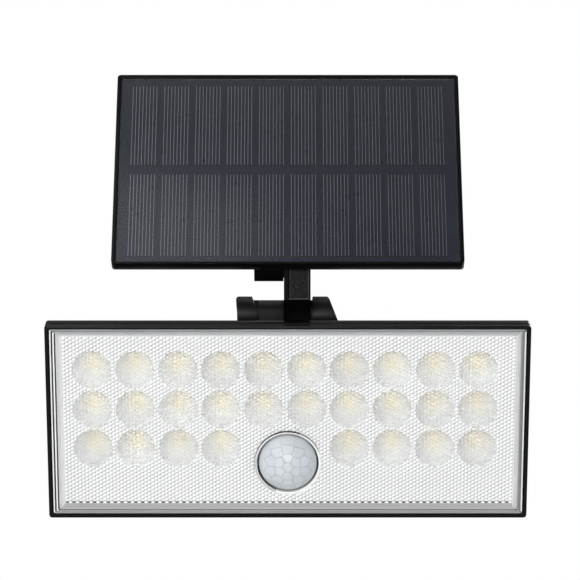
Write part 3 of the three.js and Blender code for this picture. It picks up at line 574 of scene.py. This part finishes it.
# Node, body, record slot, finish, radius of the moulded edges.
ROUNDED_COPIES = [
    ("wall_bracket", "bracket", "black_abs", BLACK, 0.45 * MM),
    ("arm", "arm", "black_abs", SHADED_BLACK, 0.35 * MM),
    # The panel tray's roundings take the painted edge highlight.
    ("panel_tray", "panel", "black_abs", [BLACK_GLOSS, EDGE_HIGHLIGHT], 0.4 * MM),
    ("panel_hinge_block", "panel", "black_abs", SHADED_BLACK, 0.4 * MM),
    ("junction_box", "panel", "black_abs", BLACK, 0.6 * MM),
    ("panel_gland", "panel", "black_rubber", RUBBER, 0.25 * MM),
    ("rear_shell", "lamp", "black_abs", BLACK, 0.7 * MM),
    ("lamp_gland", "lamp", "black_rubber", RUBBER, 0.25 * MM),
    ("mode_button", "button", "black_rubber", RUBBER, 0.2 * MM),
    ("lamp_pivot_bolt", "bracket", "zinc_steel", DARK_STEEL, 0.1 * MM),
    ("lamp_pivot_washer", "bracket", "zinc_steel", STEEL, 0.1 * MM),
    ("lamp_pivot_nut", "bracket", "zinc_steel", STEEL, 0.15 * MM),
    ("panel_pivot_bolt", "arm", "zinc_steel", STEEL, 0.1 * MM),
    ("panel_pivot_washer", "arm", "zinc_steel", STEEL, 0.1 * MM),
    ("panel_pivot_nut", "arm", "zinc_steel", STEEL, 0.15 * MM),
    *((f"hinge_screw_{i}", "panel", "zinc_steel", STEEL, 0.08 * MM) for i in (1, 2)),
    *((f"case_screw_{i}", "lamp", "zinc_steel", STEEL, 0.08 * MM) for i in (1, 2, 3, 4)),
]


def make_rounded_copies():
    for node, body, slot, material, radius in ROUNDED_COPIES:
        piece = with_rounded_edges(bare_copy(node), radius, node + "_rounded")
        settle(piece, UPRIGHT, body, slot, material, node)


def make_bezel():
    """The lamp's front frame, with its front edge rounded over and a fine groove round its wall."""
    def outline(inset):
        return rounded_rectangle(LAMP_WIDTH - 2 * inset, LAMP_HEIGHT - 2 * inset, LAMP_CORNER)

    rings = []
    for inset, depth in arc((BEZEL_ROUNDING, BEZEL_ROUNDING), BEZEL_ROUNDING, 3, 2, 8):
        rings.append(frontal(outline(inset), depth))
    envelope = lofted([*rings, frontal(outline(0), 60 * MM)])
    near, far = BEZEL_GROOVE
    inside = slab(outline(BEZEL_GROOVE_DEPTH), near - MM, far + MM)
    groove = combined(slab(outline(-2 * MM), near, far), ("DIFFERENCE", inside))
    for tool in (envelope, groove):
        tool.transform(LAMP_SPACE)
    mesh = combined(bare_copy("front_bezel"), ("INTERSECT", envelope), ("DIFFERENCE", groove))
    piece = with_rounded_edges(mesh, 0.12 * MM, "front_bezel_rounded", 2)
    # The bezel's roundings take the painted edge highlight.
    settle(piece, UPRIGHT, "lamp", "black_abs", [BLACK_GLOSS, EDGE_HIGHLIGHT], "front_bezel")


# CAD nodes inside the lamp and under the film that show as they are, each with its finish.
PAINTED_NODES = {
    "lens_gasket": RUBBER,
    # A real seal round the dome; its black also stands in for the shade in the gap round the dome's base.
    "sensor_seal": RUBBER,
    # The board's yellow tint is a painted reflection of the phosphor.
    "led_board": BOARD_WITH_PAINTED_REFLECTION,
    "sensor_can": STEEL,
    "battery_cell": WRAP,
    "battery_holder": HOLDER,
    "battery_contact_positive": STEEL,
    "battery_contact_negative": STEEL,
    "battery_wire_positive": WIRE_RED,
    "battery_wire_negative": WIRE_BLACK,
    "control_board": GREEN,
    "tact_switch": HOLDER,
    "panel_backing_board": BACKING,
}


def paint_nodes():
    for node, material in PAINTED_NODES.items():
        data = frame["nodes"][node].data
        data.materials.clear()
        data.materials.append(material)


# ---------------------------------------------------------------- solar panel


def make_panel_film():
    width = PANEL_WIDTH - 2 * LAMINATE_INSET
    height = PANEL_HEIGHT - LAMINATE_INSET - LAMINATE_BOTTOM_INSET
    middle = (LAMINATE_BOTTOM_INSET - LAMINATE_INSET) / 2
    outline = rounded_rectangle(width, height, 0.8 * MM, (0, middle))
    piece = with_rounded_edges(slab(outline, FILM_FRONT, FILM_BACK), 0.06 * MM, "panel_film_sheet")
    settle(piece, PANEL_SPACE, "panel", "clear_film", FILM, "panel_cover_film")


def cell_centres():
    half = (CELLS_PER_ROW - 1) / 2
    return [CELL_X + (i - half) * CELL_PITCH for i in range(CELLS_PER_ROW)]


def make_cell_row(name, rise, node):
    """Ten cells with clipped corners."""
    cells = []
    for x in cell_centres():
        outline = rounded_rectangle(CELL_ACROSS, CELL_TALL, 0.5 * MM, (x, rise), 1)
        cells.append(slab(outline, CELL_FRONT, CELL_FRONT + CELL_THICK))
    piece = object_from(together(cells), name)
    settle(piece, PANEL_SPACE, "panel", "solar_cell", SILICON, node)


def make_cell_fingers(name, rise):
    """The printed silver lines: eight collecting fingers on each cell."""
    lines = []
    middle = (FINGERS_PER_CELL - 1) / 2
    for centre in cell_centres():
        for i in range(FINGERS_PER_CELL):
            x = centre + (i - middle) * FINGER_PITCH
            size = (FINGER_WIDE, 0.03 * MM, FINGER_TALL)
            lines.append(box_mesh((x, CELL_FRONT - 0.015 * MM, rise), size))
    piece = object_from(together(lines), name)
    settle(piece, PANEL_SPACE, "panel", "solar_cell", SILVER)


def make_solar_face():
    make_panel_film()
    for row, rise in CELL_RISES.items():
        make_cell_row("cells_" + row, rise, "cell_string_" + row)
        make_cell_fingers("cell_fingers_" + row, rise)


# ---------------------------------------------------------------- arm cover


def make_arm_cover():
    """The plate on the arm's front, with the pebbled grain of moulded leather."""
    low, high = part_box("arm_cover")
    plate_back = low.y + 1.2 * MM
    margin = 0.45 * MM
    step = 0.11 * MM
    wide, tall = high.x - low.x, high.z - low.z
    columns, rows = round(wide / step), round(tall / step)

    def height(u, v):
        edge = min(u, wide - u, v, tall - v)
        shoulder = min(1, max(0, edge / margin))
        round_off = 1 - math.sqrt(max(0, 1 - (1 - shoulder) ** 2))
        spot = Vector((u / (0.85 * MM), v / (0.85 * MM), 0.5))
        distances = noise.voronoi(spot)[0]
        pebble = min(1, (distances[1] - distances[0]) * 1.8)
        fine = noise.noise(spot * 3.1)
        relief = (0.16 * pebble + 0.03 * fine) * MM * min(1, edge / (0.9 * MM))
        return low.y + 0.19 * MM - relief + round_off * margin

    points = []
    for j in range(rows + 1):
        for i in range(columns + 1):
            u, v = wide * i / columns, tall * j / rows
            points.append((low.x + u, height(u, v), low.z + v))
    count = columns + 1
    faces = []
    for j in range(rows):
        for i in range(columns):
            first = j * count + i
            faces.append((first, first + 1, first + count + 1, first + count))
    edge = list(range(count))
    edge += [j * count + columns for j in range(1, rows + 1)]
    edge += [rows * count + i for i in range(columns - 1, -1, -1)]
    edge += [j * count for j in range(rows - 1, 0, -1)]
    first_back = len(points)
    points += [(points[i][0], plate_back, points[i][2]) for i in edge]
    for k, corner in enumerate(edge):
        after = (k + 1) % len(edge)
        faces.append((corner, first_back + k, first_back + after, edge[after]))
    faces.append(tuple(first_back + k for k in range(len(edge))))
    mesh = closed_mesh(points, faces)
    smooth_below(mesh, 50)
    # Faces along the plate's top, right and bottom rim take the painted edge highlight.
    for polygon in mesh.polygons:
        x, y, z = polygon.center
        rim = min(high.x - x, high.z - z, z - low.z)
        if rim < 0.3 * MM and y < plate_back - 0.4 * MM:
            polygon.material_index = 1
    piece = object_from(mesh, "arm_cover_grained")
    settle(piece, UPRIGHT, "arm", "grained_abs", [GRAINED, EDGE_HIGHLIGHT], "arm_cover")


# ---------------------------------------------------------------- lens


def dimpled_block():
    """A block whose front is a honeycomb of round dimples, larger than the lens's window."""
    column_pitch = DIMPLE_PITCH * math.sqrt(3) / 2
    columns = round(WINDOW_WIDTH / column_pitch) + 4
    rows = round(WINDOW_HEIGHT / DIMPLE_PITCH) + 4
    corner_reach = DIMPLE_PITCH / math.sqrt(3)
    steepness = DIMPLE_DEPTH / corner_reach**2
    floor = WINDOW_FLOOR
    inner_ring = 0.55
    directions = [(math.cos(i * math.pi / 3), math.sin(i * math.pi / 3)) for i in range(6)]
    points, faces = [], []
    for i in range(columns):
        for j in range(rows):
            x = WINDOW_X + (i - (columns - 1) / 2) * column_pitch
            z = (j - (rows - 1) / 2 + (i % 2) / 2) * DIMPLE_PITCH
            first = len(points)
            points.append((x, floor - DIMPLE_DEPTH, z))
            for share in (inner_ring, 1):
                reach = corner_reach * share
                depth = floor - DIMPLE_DEPTH + steepness * reach**2
                points += [(x + reach * dx, depth, z + reach * dz) for dx, dz in directions]
            for k in range(6):
                after = (k + 1) % 6
                faces.append((first, first + 1 + k, first + 1 + after))
                faces.append((first + 1 + k, first + 7 + k, first + 7 + after, first + 1 + after))
    sheet = bpy.data.meshes.new("sheet")
    sheet.from_pydata(points, [], faces)
    form = bmesh.new()
    form.from_mesh(sheet)
    bmesh.ops.remove_doubles(form, verts=form.verts, dist=1e-6)
    rim = [edge for edge in form.edges if edge.is_boundary]
    walls = bmesh.ops.extrude_edge_only(form, edges=rim)["geom"]
    low_points = [item for item in walls if isinstance(item, bmesh.types.BMVert)]
    for vertex in low_points:
        vertex.co.y = LENS_BACK
    back_rim = [item for item in walls if isinstance(item, bmesh.types.BMEdge) and item.is_boundary]
    bmesh.ops.contextual_create(form, geom=back_rim)
    bmesh.ops.triangulate(form, faces=[face for face in form.faces if len(face.verts) > 4])
    bmesh.ops.recalc_face_normals(form, faces=form.faces)
    form.to_mesh(sheet)
    form.free()
    return sheet


# The clear frame round the window reaches this far in from the lens's edge, across and up.
BORDER_ACROSS = 4.4 * MM
BORDER_UP = 3.0 * MM
# Its profile, as (share of the way in, depth): two ridges with grooves behind them, then a flat band.
BORDER_STEPS = [
    (0, LENS_BACK), (0, 1.2 * MM), (0.06, LENS_FRONT), (0.20, LENS_FRONT), (0.23, 1.7 * MM),
    (0.34, 1.7 * MM), (0.37, LENS_FRONT), (0.52, LENS_FRONT), (0.55, 1.7 * MM), (0.62, 1.7 * MM),
    (0.66, 1.3 * MM), (1.0, 1.3 * MM),
]
# Bands of painted shade, painted highlight and painted reflection on each side of the clear frame, as
# (share of the way in where it ends, finish).
# They were chosen one by one and differ from side to side, which the plastic of a real frame wouldn't.
BORDER_PAINTED_BANDS = {
    "left": [(0.06, LENS_SHADED), (0.20, LENS_HAZY), (0.37, LENS_SHADED), (0.52, LENS_HAZY),
             (0.66, LENS_SHADED), (1, LENS_PALE)],
    "right": [(0.05, LENS_SHADED), (0.14, LENS_HAZY), (0.20, LENS_SHADED), (0.55, LENS_BAND),
              (1, LENS_PALE)],
    "top": [(1, LENS_GREY)],
    "bottom": [(0.54, LENS_GREY), (0.62, LENS_SHADED), (1, LENS_PALE)],
}


def lens_border():
    rings = []
    for share, depth in BORDER_STEPS:
        size = (LENS_WIDTH - 2 * share * BORDER_ACROSS, LENS_HEIGHT - 2 * share * BORDER_UP)
        rings.append(frontal(rounded_rectangle(*size, 0.9 * MM), depth))
    window = rounded_rectangle(WINDOW_WIDTH, WINDOW_HEIGHT, 0.9 * MM, (WINDOW_X, 0))
    slope_top = rounded_rectangle(LENS_WIDTH - 2 * BORDER_ACROSS, LENS_HEIGHT - 2 * BORDER_UP, 0.9 * MM)
    blank = lofted(rings)
    opening = lofted([
        frontal(slope_top, LENS_FRONT - 0.8 * MM),
        frontal(slope_top, 1.3 * MM),
        frontal(window, WINDOW_FLOOR - 0.1 * MM),
        frontal(window, LENS_BACK + 1 * MM),
    ])
    return combined(blank, ("DIFFERENCE", opening))


LENS_MATERIALS = [
    LENS_CLEAR, LENS_SHADED, LENS_BAND, LENS_GREY, LENS_PALE, LENS_HAZY, LENS_BUMPS,
    LENS_BUMPS_OVER_CUPS,
]


def border_painted_band(x, z):
    """The finish of the clear frame at this place, a band of painted shade and reflection, or None inside
    it.
    """
    ways_in = {
        "left": (LENS_WIDTH / 2 + x) / BORDER_ACROSS,
        "right": (LENS_WIDTH / 2 - x) / BORDER_ACROSS,
        "top": (LENS_HEIGHT / 2 - z) / BORDER_UP,
        "bottom": (LENS_HEIGHT / 2 + z) / BORDER_UP,
    }
    side = min(ways_in, key=ways_in.get)
    return next((finish for end, finish in BORDER_PAINTED_BANDS[side] if ways_in[side] < end), None)


def lens_material(centre, normal, cups):
    """The finish of one lens face."""
    x, z = centre.x, centre.z
    if normal.y > 0.5:
        return LENS_CLEAR
    if math.dist((x, z), SENSOR_AT) < COLLAR_RADIUS + 0.05 * MM:
        # On the collar round the sensor: painted shade on the upper left side, painted grey in the middle
        # and haze on the lower right.
        leftwards_up = (z - SENSOR_AT[1] - x) / COLLAR_RADIUS
        if abs(normal.y) > 0.6 or leftwards_up < -0.5:
            return LENS_HAZY
        return LENS_SHADED if leftwards_up > 0.5 else LENS_BAND
    on_border = border_painted_band(x, z)
    if on_border:
        return on_border
    above_bottom = z + WINDOW_HEIGHT / 2
    # A painted shadow arc under each bump of the last row.
    if abs(above_bottom - LAST_BUMP_ROW / 2) < LAST_BUMP_ROW / 2 and normal.z < -0.05:
        return LENS_SHADED
    # Below the bumps the slope is painted a pale grey band.
    if z < -WINDOW_HEIGHT / 2:
        return LENS_PALE
    if abs(x - WINDOW_X) > WINDOW_WIDTH / 2 or z > WINDOW_HEIGHT / 2:
        return LENS_HAZY
    over_cup = any(math.dist((x, z), cup) < CUP_MOUTH for cup in cups)
    return LENS_BUMPS_OVER_CUPS if over_cup else LENS_BUMPS


def make_lens():
    window = slab(
        rounded_rectangle(WINDOW_WIDTH + 0.2 * MM, WINDOW_HEIGHT + 0.2 * MM, 1.2 * MM, (WINDOW_X, 0)),
        LENS_FRONT, LENS_BACK + 1 * MM,
    )
    pane = combined(dimpled_block(), ("INTERSECT", window))
    collar = turned(
        [(0, LENS_BACK), (COLLAR_RADIUS, LENS_BACK), (COLLAR_RADIUS, 1.9 * MM),
         (COLLAR_RADIUS - 0.2 * MM, 1.5 * MM), (COLLAR_RADIUS - 0.5 * MM, 1.5 * MM),
         (COLLAR_RADIUS - 0.7 * MM, 2.2 * MM), (DOME_HOLE + 0.2 * MM, 2.2 * MM),
         (DOME_HOLE + 0.1 * MM, 2.0 * MM), (0, 2.0 * MM)],
        SENSOR_AT, 96,
    )
    hole = turned([(0, -1 * MM), (DOME_HOLE, -1 * MM), (DOME_HOLE, 7 * MM), (0, 7 * MM)], SENSOR_AT, 96)
    mesh = combined(lens_border(), ("UNION", pane), ("UNION", collar), ("DIFFERENCE", hole))
    smooth_below(mesh, 30)
    cups = [place for row in led_rows().values() for place in row]
    for polygon in mesh.polygons:
        finish = lens_material(polygon.center, polygon.normal, cups)
        polygon.material_index = LENS_MATERIALS.index(finish)
    piece = object_from(mesh, "lens_dimpled")
    settle(piece, LAMP_SPACE, "lamp", "clear_polycarbonate", LENS_MATERIALS, "front_lens")


# ---------------------------------------------------------------- reflector tray and lights


def led_columns():
    return [LED_X + (i - (LED_COLUMNS - 1) / 2) * LED_PITCH for i in range(LED_COLUMNS)]


def led_rows():
    """Each row's CAD node with the places of its lights."""
    every = led_columns()
    outer = [x for x in every if abs(x) > TUBE_RADIUS]
    rises = [LED_TOP_ROW - row * LED_ROW_PITCH for row in range(3)]
    return {
        "led_row_top": [(x, rises[0]) for x in every],
        "led_row_middle": [(x, rises[1]) for x in every],
        "led_row_bottom_left": [(x, rises[2]) for x in outer if x < 0],
        "led_row_bottom_right": [(x, rises[2]) for x in outer if x > 0],
    }


def cup_profile(grow, near, far, steps=6):
    """The bowl of a reflector cup, from its rounded mouth to its floor, as a solid to add or cut."""
    side = []
    for i in range(steps + 1):
        share = i / steps
        radius = CUP_MOUTH + (CUP_FLOOR - CUP_MOUTH) * share**1.5
        side.append((radius + grow, TRAY_FRONT + (CUP_END - TRAY_FRONT) * share))
    first = 0 if near < TRAY_FRONT else 1
    return [(0, near), (side[0][0], near), *side[first:], (side[-1][0], far), (0, far)]


def make_tray():
    places = [place for row in led_rows().values() for place in row]
    cup = cup_profile(CUP_WALL, TRAY_FRONT, CUP_END + 0.01 * MM)
    bowl = cup_profile(0, TRAY_FRONT - 1 * MM, CUP_END + 1 * MM)
    outer = together([turned(cup, at, 40) for at in places])
    inner = together([turned(bowl, at, 40) for at in places])
    tube = [(0, TRAY_FRONT), (TUBE_RADIUS, TRAY_FRONT), (TUBE_RADIUS, CUP_END), (0, CUP_END)]
    bore = [(0, 0), (SEAT_RADIUS, 0), (SEAT_RADIUS, SEAT_BACK), (TUBE_BORE, SEAT_BACK),
            (TUBE_BORE, 20 * MM), (0, 20 * MM)]
    plate = slab(
        rounded_rectangle(TRAY_WIDTH, TRAY_HEIGHT, 1.2 * MM), TRAY_FRONT, TRAY_FRONT + TRAY_THICK,
    )
    mesh = combined(
        plate,
        ("UNION", turned(tube, SENSOR_AT, 64)),
        ("UNION", outer),
        ("DIFFERENCE", inner),
        ("DIFFERENCE", turned(bore, SENSOR_AT, 64)),
    )
    smooth_below(mesh, 35)
    piece = object_from(mesh, "tray_with_cups")
    settle(piece, LAMP_SPACE, "lamp", "white_reflector", WHITE, "reflector_tray")


def led_package(x, rise):
    """A white body whose round well holds the yellow phosphor. Material 1 is the phosphor."""
    front = LED_BACK - LED_THICK
    outline = rounded_rectangle(LED_LONG, LED_TALL, 0.25 * MM, (x, rise), 2)
    well = turned([(0, front - 1 * MM), (1.2 * MM, front - 1 * MM), (1.2 * MM, front),
                   (1.0 * MM, front + 0.3 * MM), (0, front + 0.3 * MM)], (x, rise), 20)
    body = combined(slab(outline, front, LED_BACK), ("DIFFERENCE", well))
    fill = turned([(0, front + 0.31 * MM), (1.0 * MM, front + 0.31 * MM), (1.12 * MM, front + 0.06 * MM),
                   (0.6 * MM, front + 0.01 * MM), (0, front)], (x, rise), 20)
    for polygon in fill.polygons:
        polygon.material_index = 1
    return [body, fill]


def make_lights():
    for node, places in led_rows().items():
        parts = [mesh for x, rise in places for mesh in led_package(x, rise)]
        mesh = together(parts)
        smooth_below(mesh, 35)
        piece = object_from(mesh, node + "_packages")
        settle(piece, LAMP_SPACE, "lamp", "led_phosphor", [PACKAGE_WHITE, PHOSPHOR], node)


# ---------------------------------------------------------------- motion sensor dome


# Rings of facets on the dome, as (share of the dome's radius, facets in the ring).
FACET_RINGS = [(0, 1), (0.34, 6), (0.62, 10), (0.90, 12)]
SEAM = 0.05
# Reach of the painted shade on each side of a seam, as a share of the dome's radius.
SEAM_LINE = 0.016


def facet_middles():
    """The middles of the dome's facets, as places on a disc of radius 1."""
    middles = []
    for share, count in FACET_RINGS:
        for i in range(count):
            angle = 2 * math.pi * i / count - math.pi / 2
            middles.append(Vector((share * math.cos(angle), share * math.sin(angle))))
    return middles


def facet_of(place, middles):
    """The middle of the facet at this place and the distance to the nearest seam."""
    nearest, second = sorted(middles, key=lambda middle: (middle - place).length)[:2]
    return nearest, ((second - place).length - (nearest - place).length) / 2


def make_dome():
    """A milky cap made of nearly flat facets in rings, with a thin groove between each and the next."""
    sphere = (DOME_RADIUS**2 + DOME_RISE**2) / (2 * DOME_RISE)
    crown = DOME_RIM - DOME_RISE

    def cap(radius):
        return crown + sphere - math.sqrt(sphere**2 - radius**2)

    middles = facet_middles()
    rings, around = 66, 180
    swell = 0.32 * MM
    flatness = 0.75
    points = []
    for ring in range(1, rings + 1):
        share = ring / rings
        for i in range(around):
            angle = i / around * 2 * math.pi
            radius = DOME_RADIUS * share
            place = Vector((share * math.cos(angle), share * math.sin(angle)))
            nearest, seam = facet_of(place, middles)
            middle = DOME_RADIUS * nearest.length
            slope = middle / math.sqrt(sphere**2 - middle**2)
            along = DOME_RADIUS * place.dot(nearest.normalized()) - middle
            flat = cap(middle) + slope * along
            depth = cap(radius) * (1 - flatness) + flat * flatness
            groove = swell * (1 - math.sqrt(min(1, seam / SEAM)))
            edge = max(0, (share - 0.9) / 0.1) ** 2
            depth = (depth + groove) * (1 - edge) + cap(radius) * edge
            points.append((radius * math.cos(angle), depth, radius * math.sin(angle) + SENSOR_AT[1]))
    front_count = len(points)
    points.append((0, crown, SENSOR_AT[1]))
    inner = [(DOME_RADIUS, 5.6 * MM), (DOME_FLANGE, 5.6 * MM), (DOME_FLANGE, 6.8 * MM),
             (DOME_RADIUS - DOME_SKIN, 6.8 * MM), (DOME_RADIUS - DOME_SKIN, DOME_RIM)]
    for step in range(1, 8):
        share = 1 - step / 8
        radius = (DOME_RADIUS - DOME_SKIN) * share
        inner.append((radius, cap(radius) + DOME_SKIN + swell))
    for radius, depth in inner:
        for i in range(around):
            angle = i / around * 2 * math.pi
            points.append((radius * math.cos(angle), depth, radius * math.sin(angle) + SENSOR_AT[1]))
    points.append((0, crown + DOME_SKIN + swell, SENSOR_AT[1]))

    def strip(first, second):
        return [
            (first + i, first + (i + 1) % around, second + (i + 1) % around, second + i)
            for i in range(around)
        ]

    faces = [(front_count, i, (i + 1) % around) for i in range(around)]
    for ring in range(rings - 1):
        faces += strip(ring * around, (ring + 1) * around)
    back = front_count + 1
    faces += strip((rings - 1) * around, back)
    for ring in range(len(inner) - 1):
        faces += strip(back + ring * around, back + (ring + 1) * around)
    last = back + (len(inner) - 1) * around
    faces += [(last + i, last + (i + 1) % around, len(points) - 1) for i in range(around)]
    mesh = closed_mesh(points, faces)
    smooth_below(mesh, 60)
    # Faces next to the seams take a darker milky colour: painted shade in the grooves.
    for polygon in mesh.polygons:
        place = Vector((polygon.center.x, polygon.center.z - SENSOR_AT[1])) / DOME_RADIUS
        if place.length < 0.9 and facet_of(place, middles)[1] < SEAM_LINE:
            polygon.material_index = 1
    piece = object_from(mesh, "sensor_dome_faceted")
    settle(piece, LAMP_SPACE, "lamp", "milky_hdpe", [MILKY, MILKY_SEAM_SHADE], "sensor_dome")


# ---------------------------------------------------------------- studio


CAMERA_AT = (0.001, -1.310, 0.0455)
CAMERA_LENS = 167.586


def make_camera():
    data = bpy.data.cameras.new("camera")
    data.lens = CAMERA_LENS
    data.sensor_width = 36
    data.clip_end = 50
    camera = bpy.data.objects.new("camera", data)
    camera.location = CAMERA_AT
    camera.rotation_euler = (math.radians(90), 0, 0)
    bpy.context.scene.collection.objects.link(camera)
    bpy.context.scene.camera = camera


def soft_box(name, place, aim, size, power):
    data = bpy.data.lights.new(name, "AREA")
    data.shape = "RECTANGLE"
    data.size, data.size_y = size
    data.energy = power
    lamp = bpy.data.objects.new(name, data)
    lamp.location = place
    lamp.rotation_euler = (Vector(aim) - Vector(place)).to_track_quat("-Z", "Y").to_euler()
    bpy.context.scene.collection.objects.link(lamp)


def make_studio():
    world = bpy.data.worlds.new("studio")
    bpy.context.scene.world = world
    world.use_nodes = True
    tree = world.node_tree
    surroundings = tree.nodes["Background"]
    surroundings.inputs["Color"].default_value = (0.96, 0.98, 1, 1)
    surroundings.inputs["Strength"].default_value = 0.20
    backdrop = tree.nodes.new("ShaderNodeBackground")
    backdrop.inputs["Color"].default_value = (1, 1, 1, 1)
    path = tree.nodes.new("ShaderNodeLightPath")
    mix = tree.nodes.new("ShaderNodeMixShader")
    tree.links.new(path.outputs["Is Camera Ray"], mix.inputs["Fac"])
    tree.links.new(surroundings.outputs["Background"], mix.inputs[1])
    tree.links.new(backdrop.outputs["Background"], mix.inputs[2])
    tree.links.new(mix.outputs["Shader"], tree.nodes["World Output"].inputs["Surface"])

    target = (0, -0.07, 0.03)
    soft_box("key", (-0.3, -1.75, 0.08), target, (0.9, 0.6), 20)
    soft_box("fill", (1.3, -0.8, 0.1), target, (0.5, 1.0), 1.5)
    soft_box("side", (-1.3, -0.5, 0.0), target, (0.5, 1.0), 2)
    soft_box("top", (0.0, 0.1, 1.2), target, (1.4, 0.5), 11)
    soft_box("sky", (-0.8, -0.85, 1.25), target, (1.4, 1.0), 5)
    soft_box("back", (0.9, 1.2, 0.6), target, (1.0, 1.0), 14)

    floor_mesh = slab(rounded_rectangle(3, 3, 1.0, steps=8), 0, 0.02)
    floor = object_from(floor_mesh, "floor")
    floor.matrix_world = Matrix.Translation((0, 0, -0.29)) @ Matrix.Rotation(math.radians(-90), 4, "X")
    floor_finish = Finish("pale_floor", (0.55, 0.55, 0.55), 0.7)
    floor_finish.blotches(0.5, 0.01)
    path = floor_finish.node("ShaderNodeLightPath")
    seen = floor_finish.node("ShaderNodeEmission")
    seen.inputs["Color"].default_value = (0.95, 0.95, 0.95, 1)
    mix = floor_finish.node("ShaderNodeMixShader")
    floor_finish.link(path.outputs["Is Camera Ray"], mix.inputs["Fac"])
    floor_finish.link(floor_finish.shader.outputs["BSDF"], mix.inputs[1])
    floor_finish.link(seen.outputs["Emission"], mix.inputs[2])
    floor_finish.link(mix.outputs["Shader"], floor_finish.output.inputs["Surface"])
    floor.data.materials.append(floor_finish.material)

    bpy.context.scene.view_settings.view_transform = "Standard"


# ---------------------------------------------------------------- the whole scene

make_camera()
make_studio()
paint_nodes()
make_rounded_copies()
make_bezel()
make_solar_face()
make_arm_cover()
make_lens()
make_tray()
make_lights()
make_dome()

bpy.context.view_layer.update()
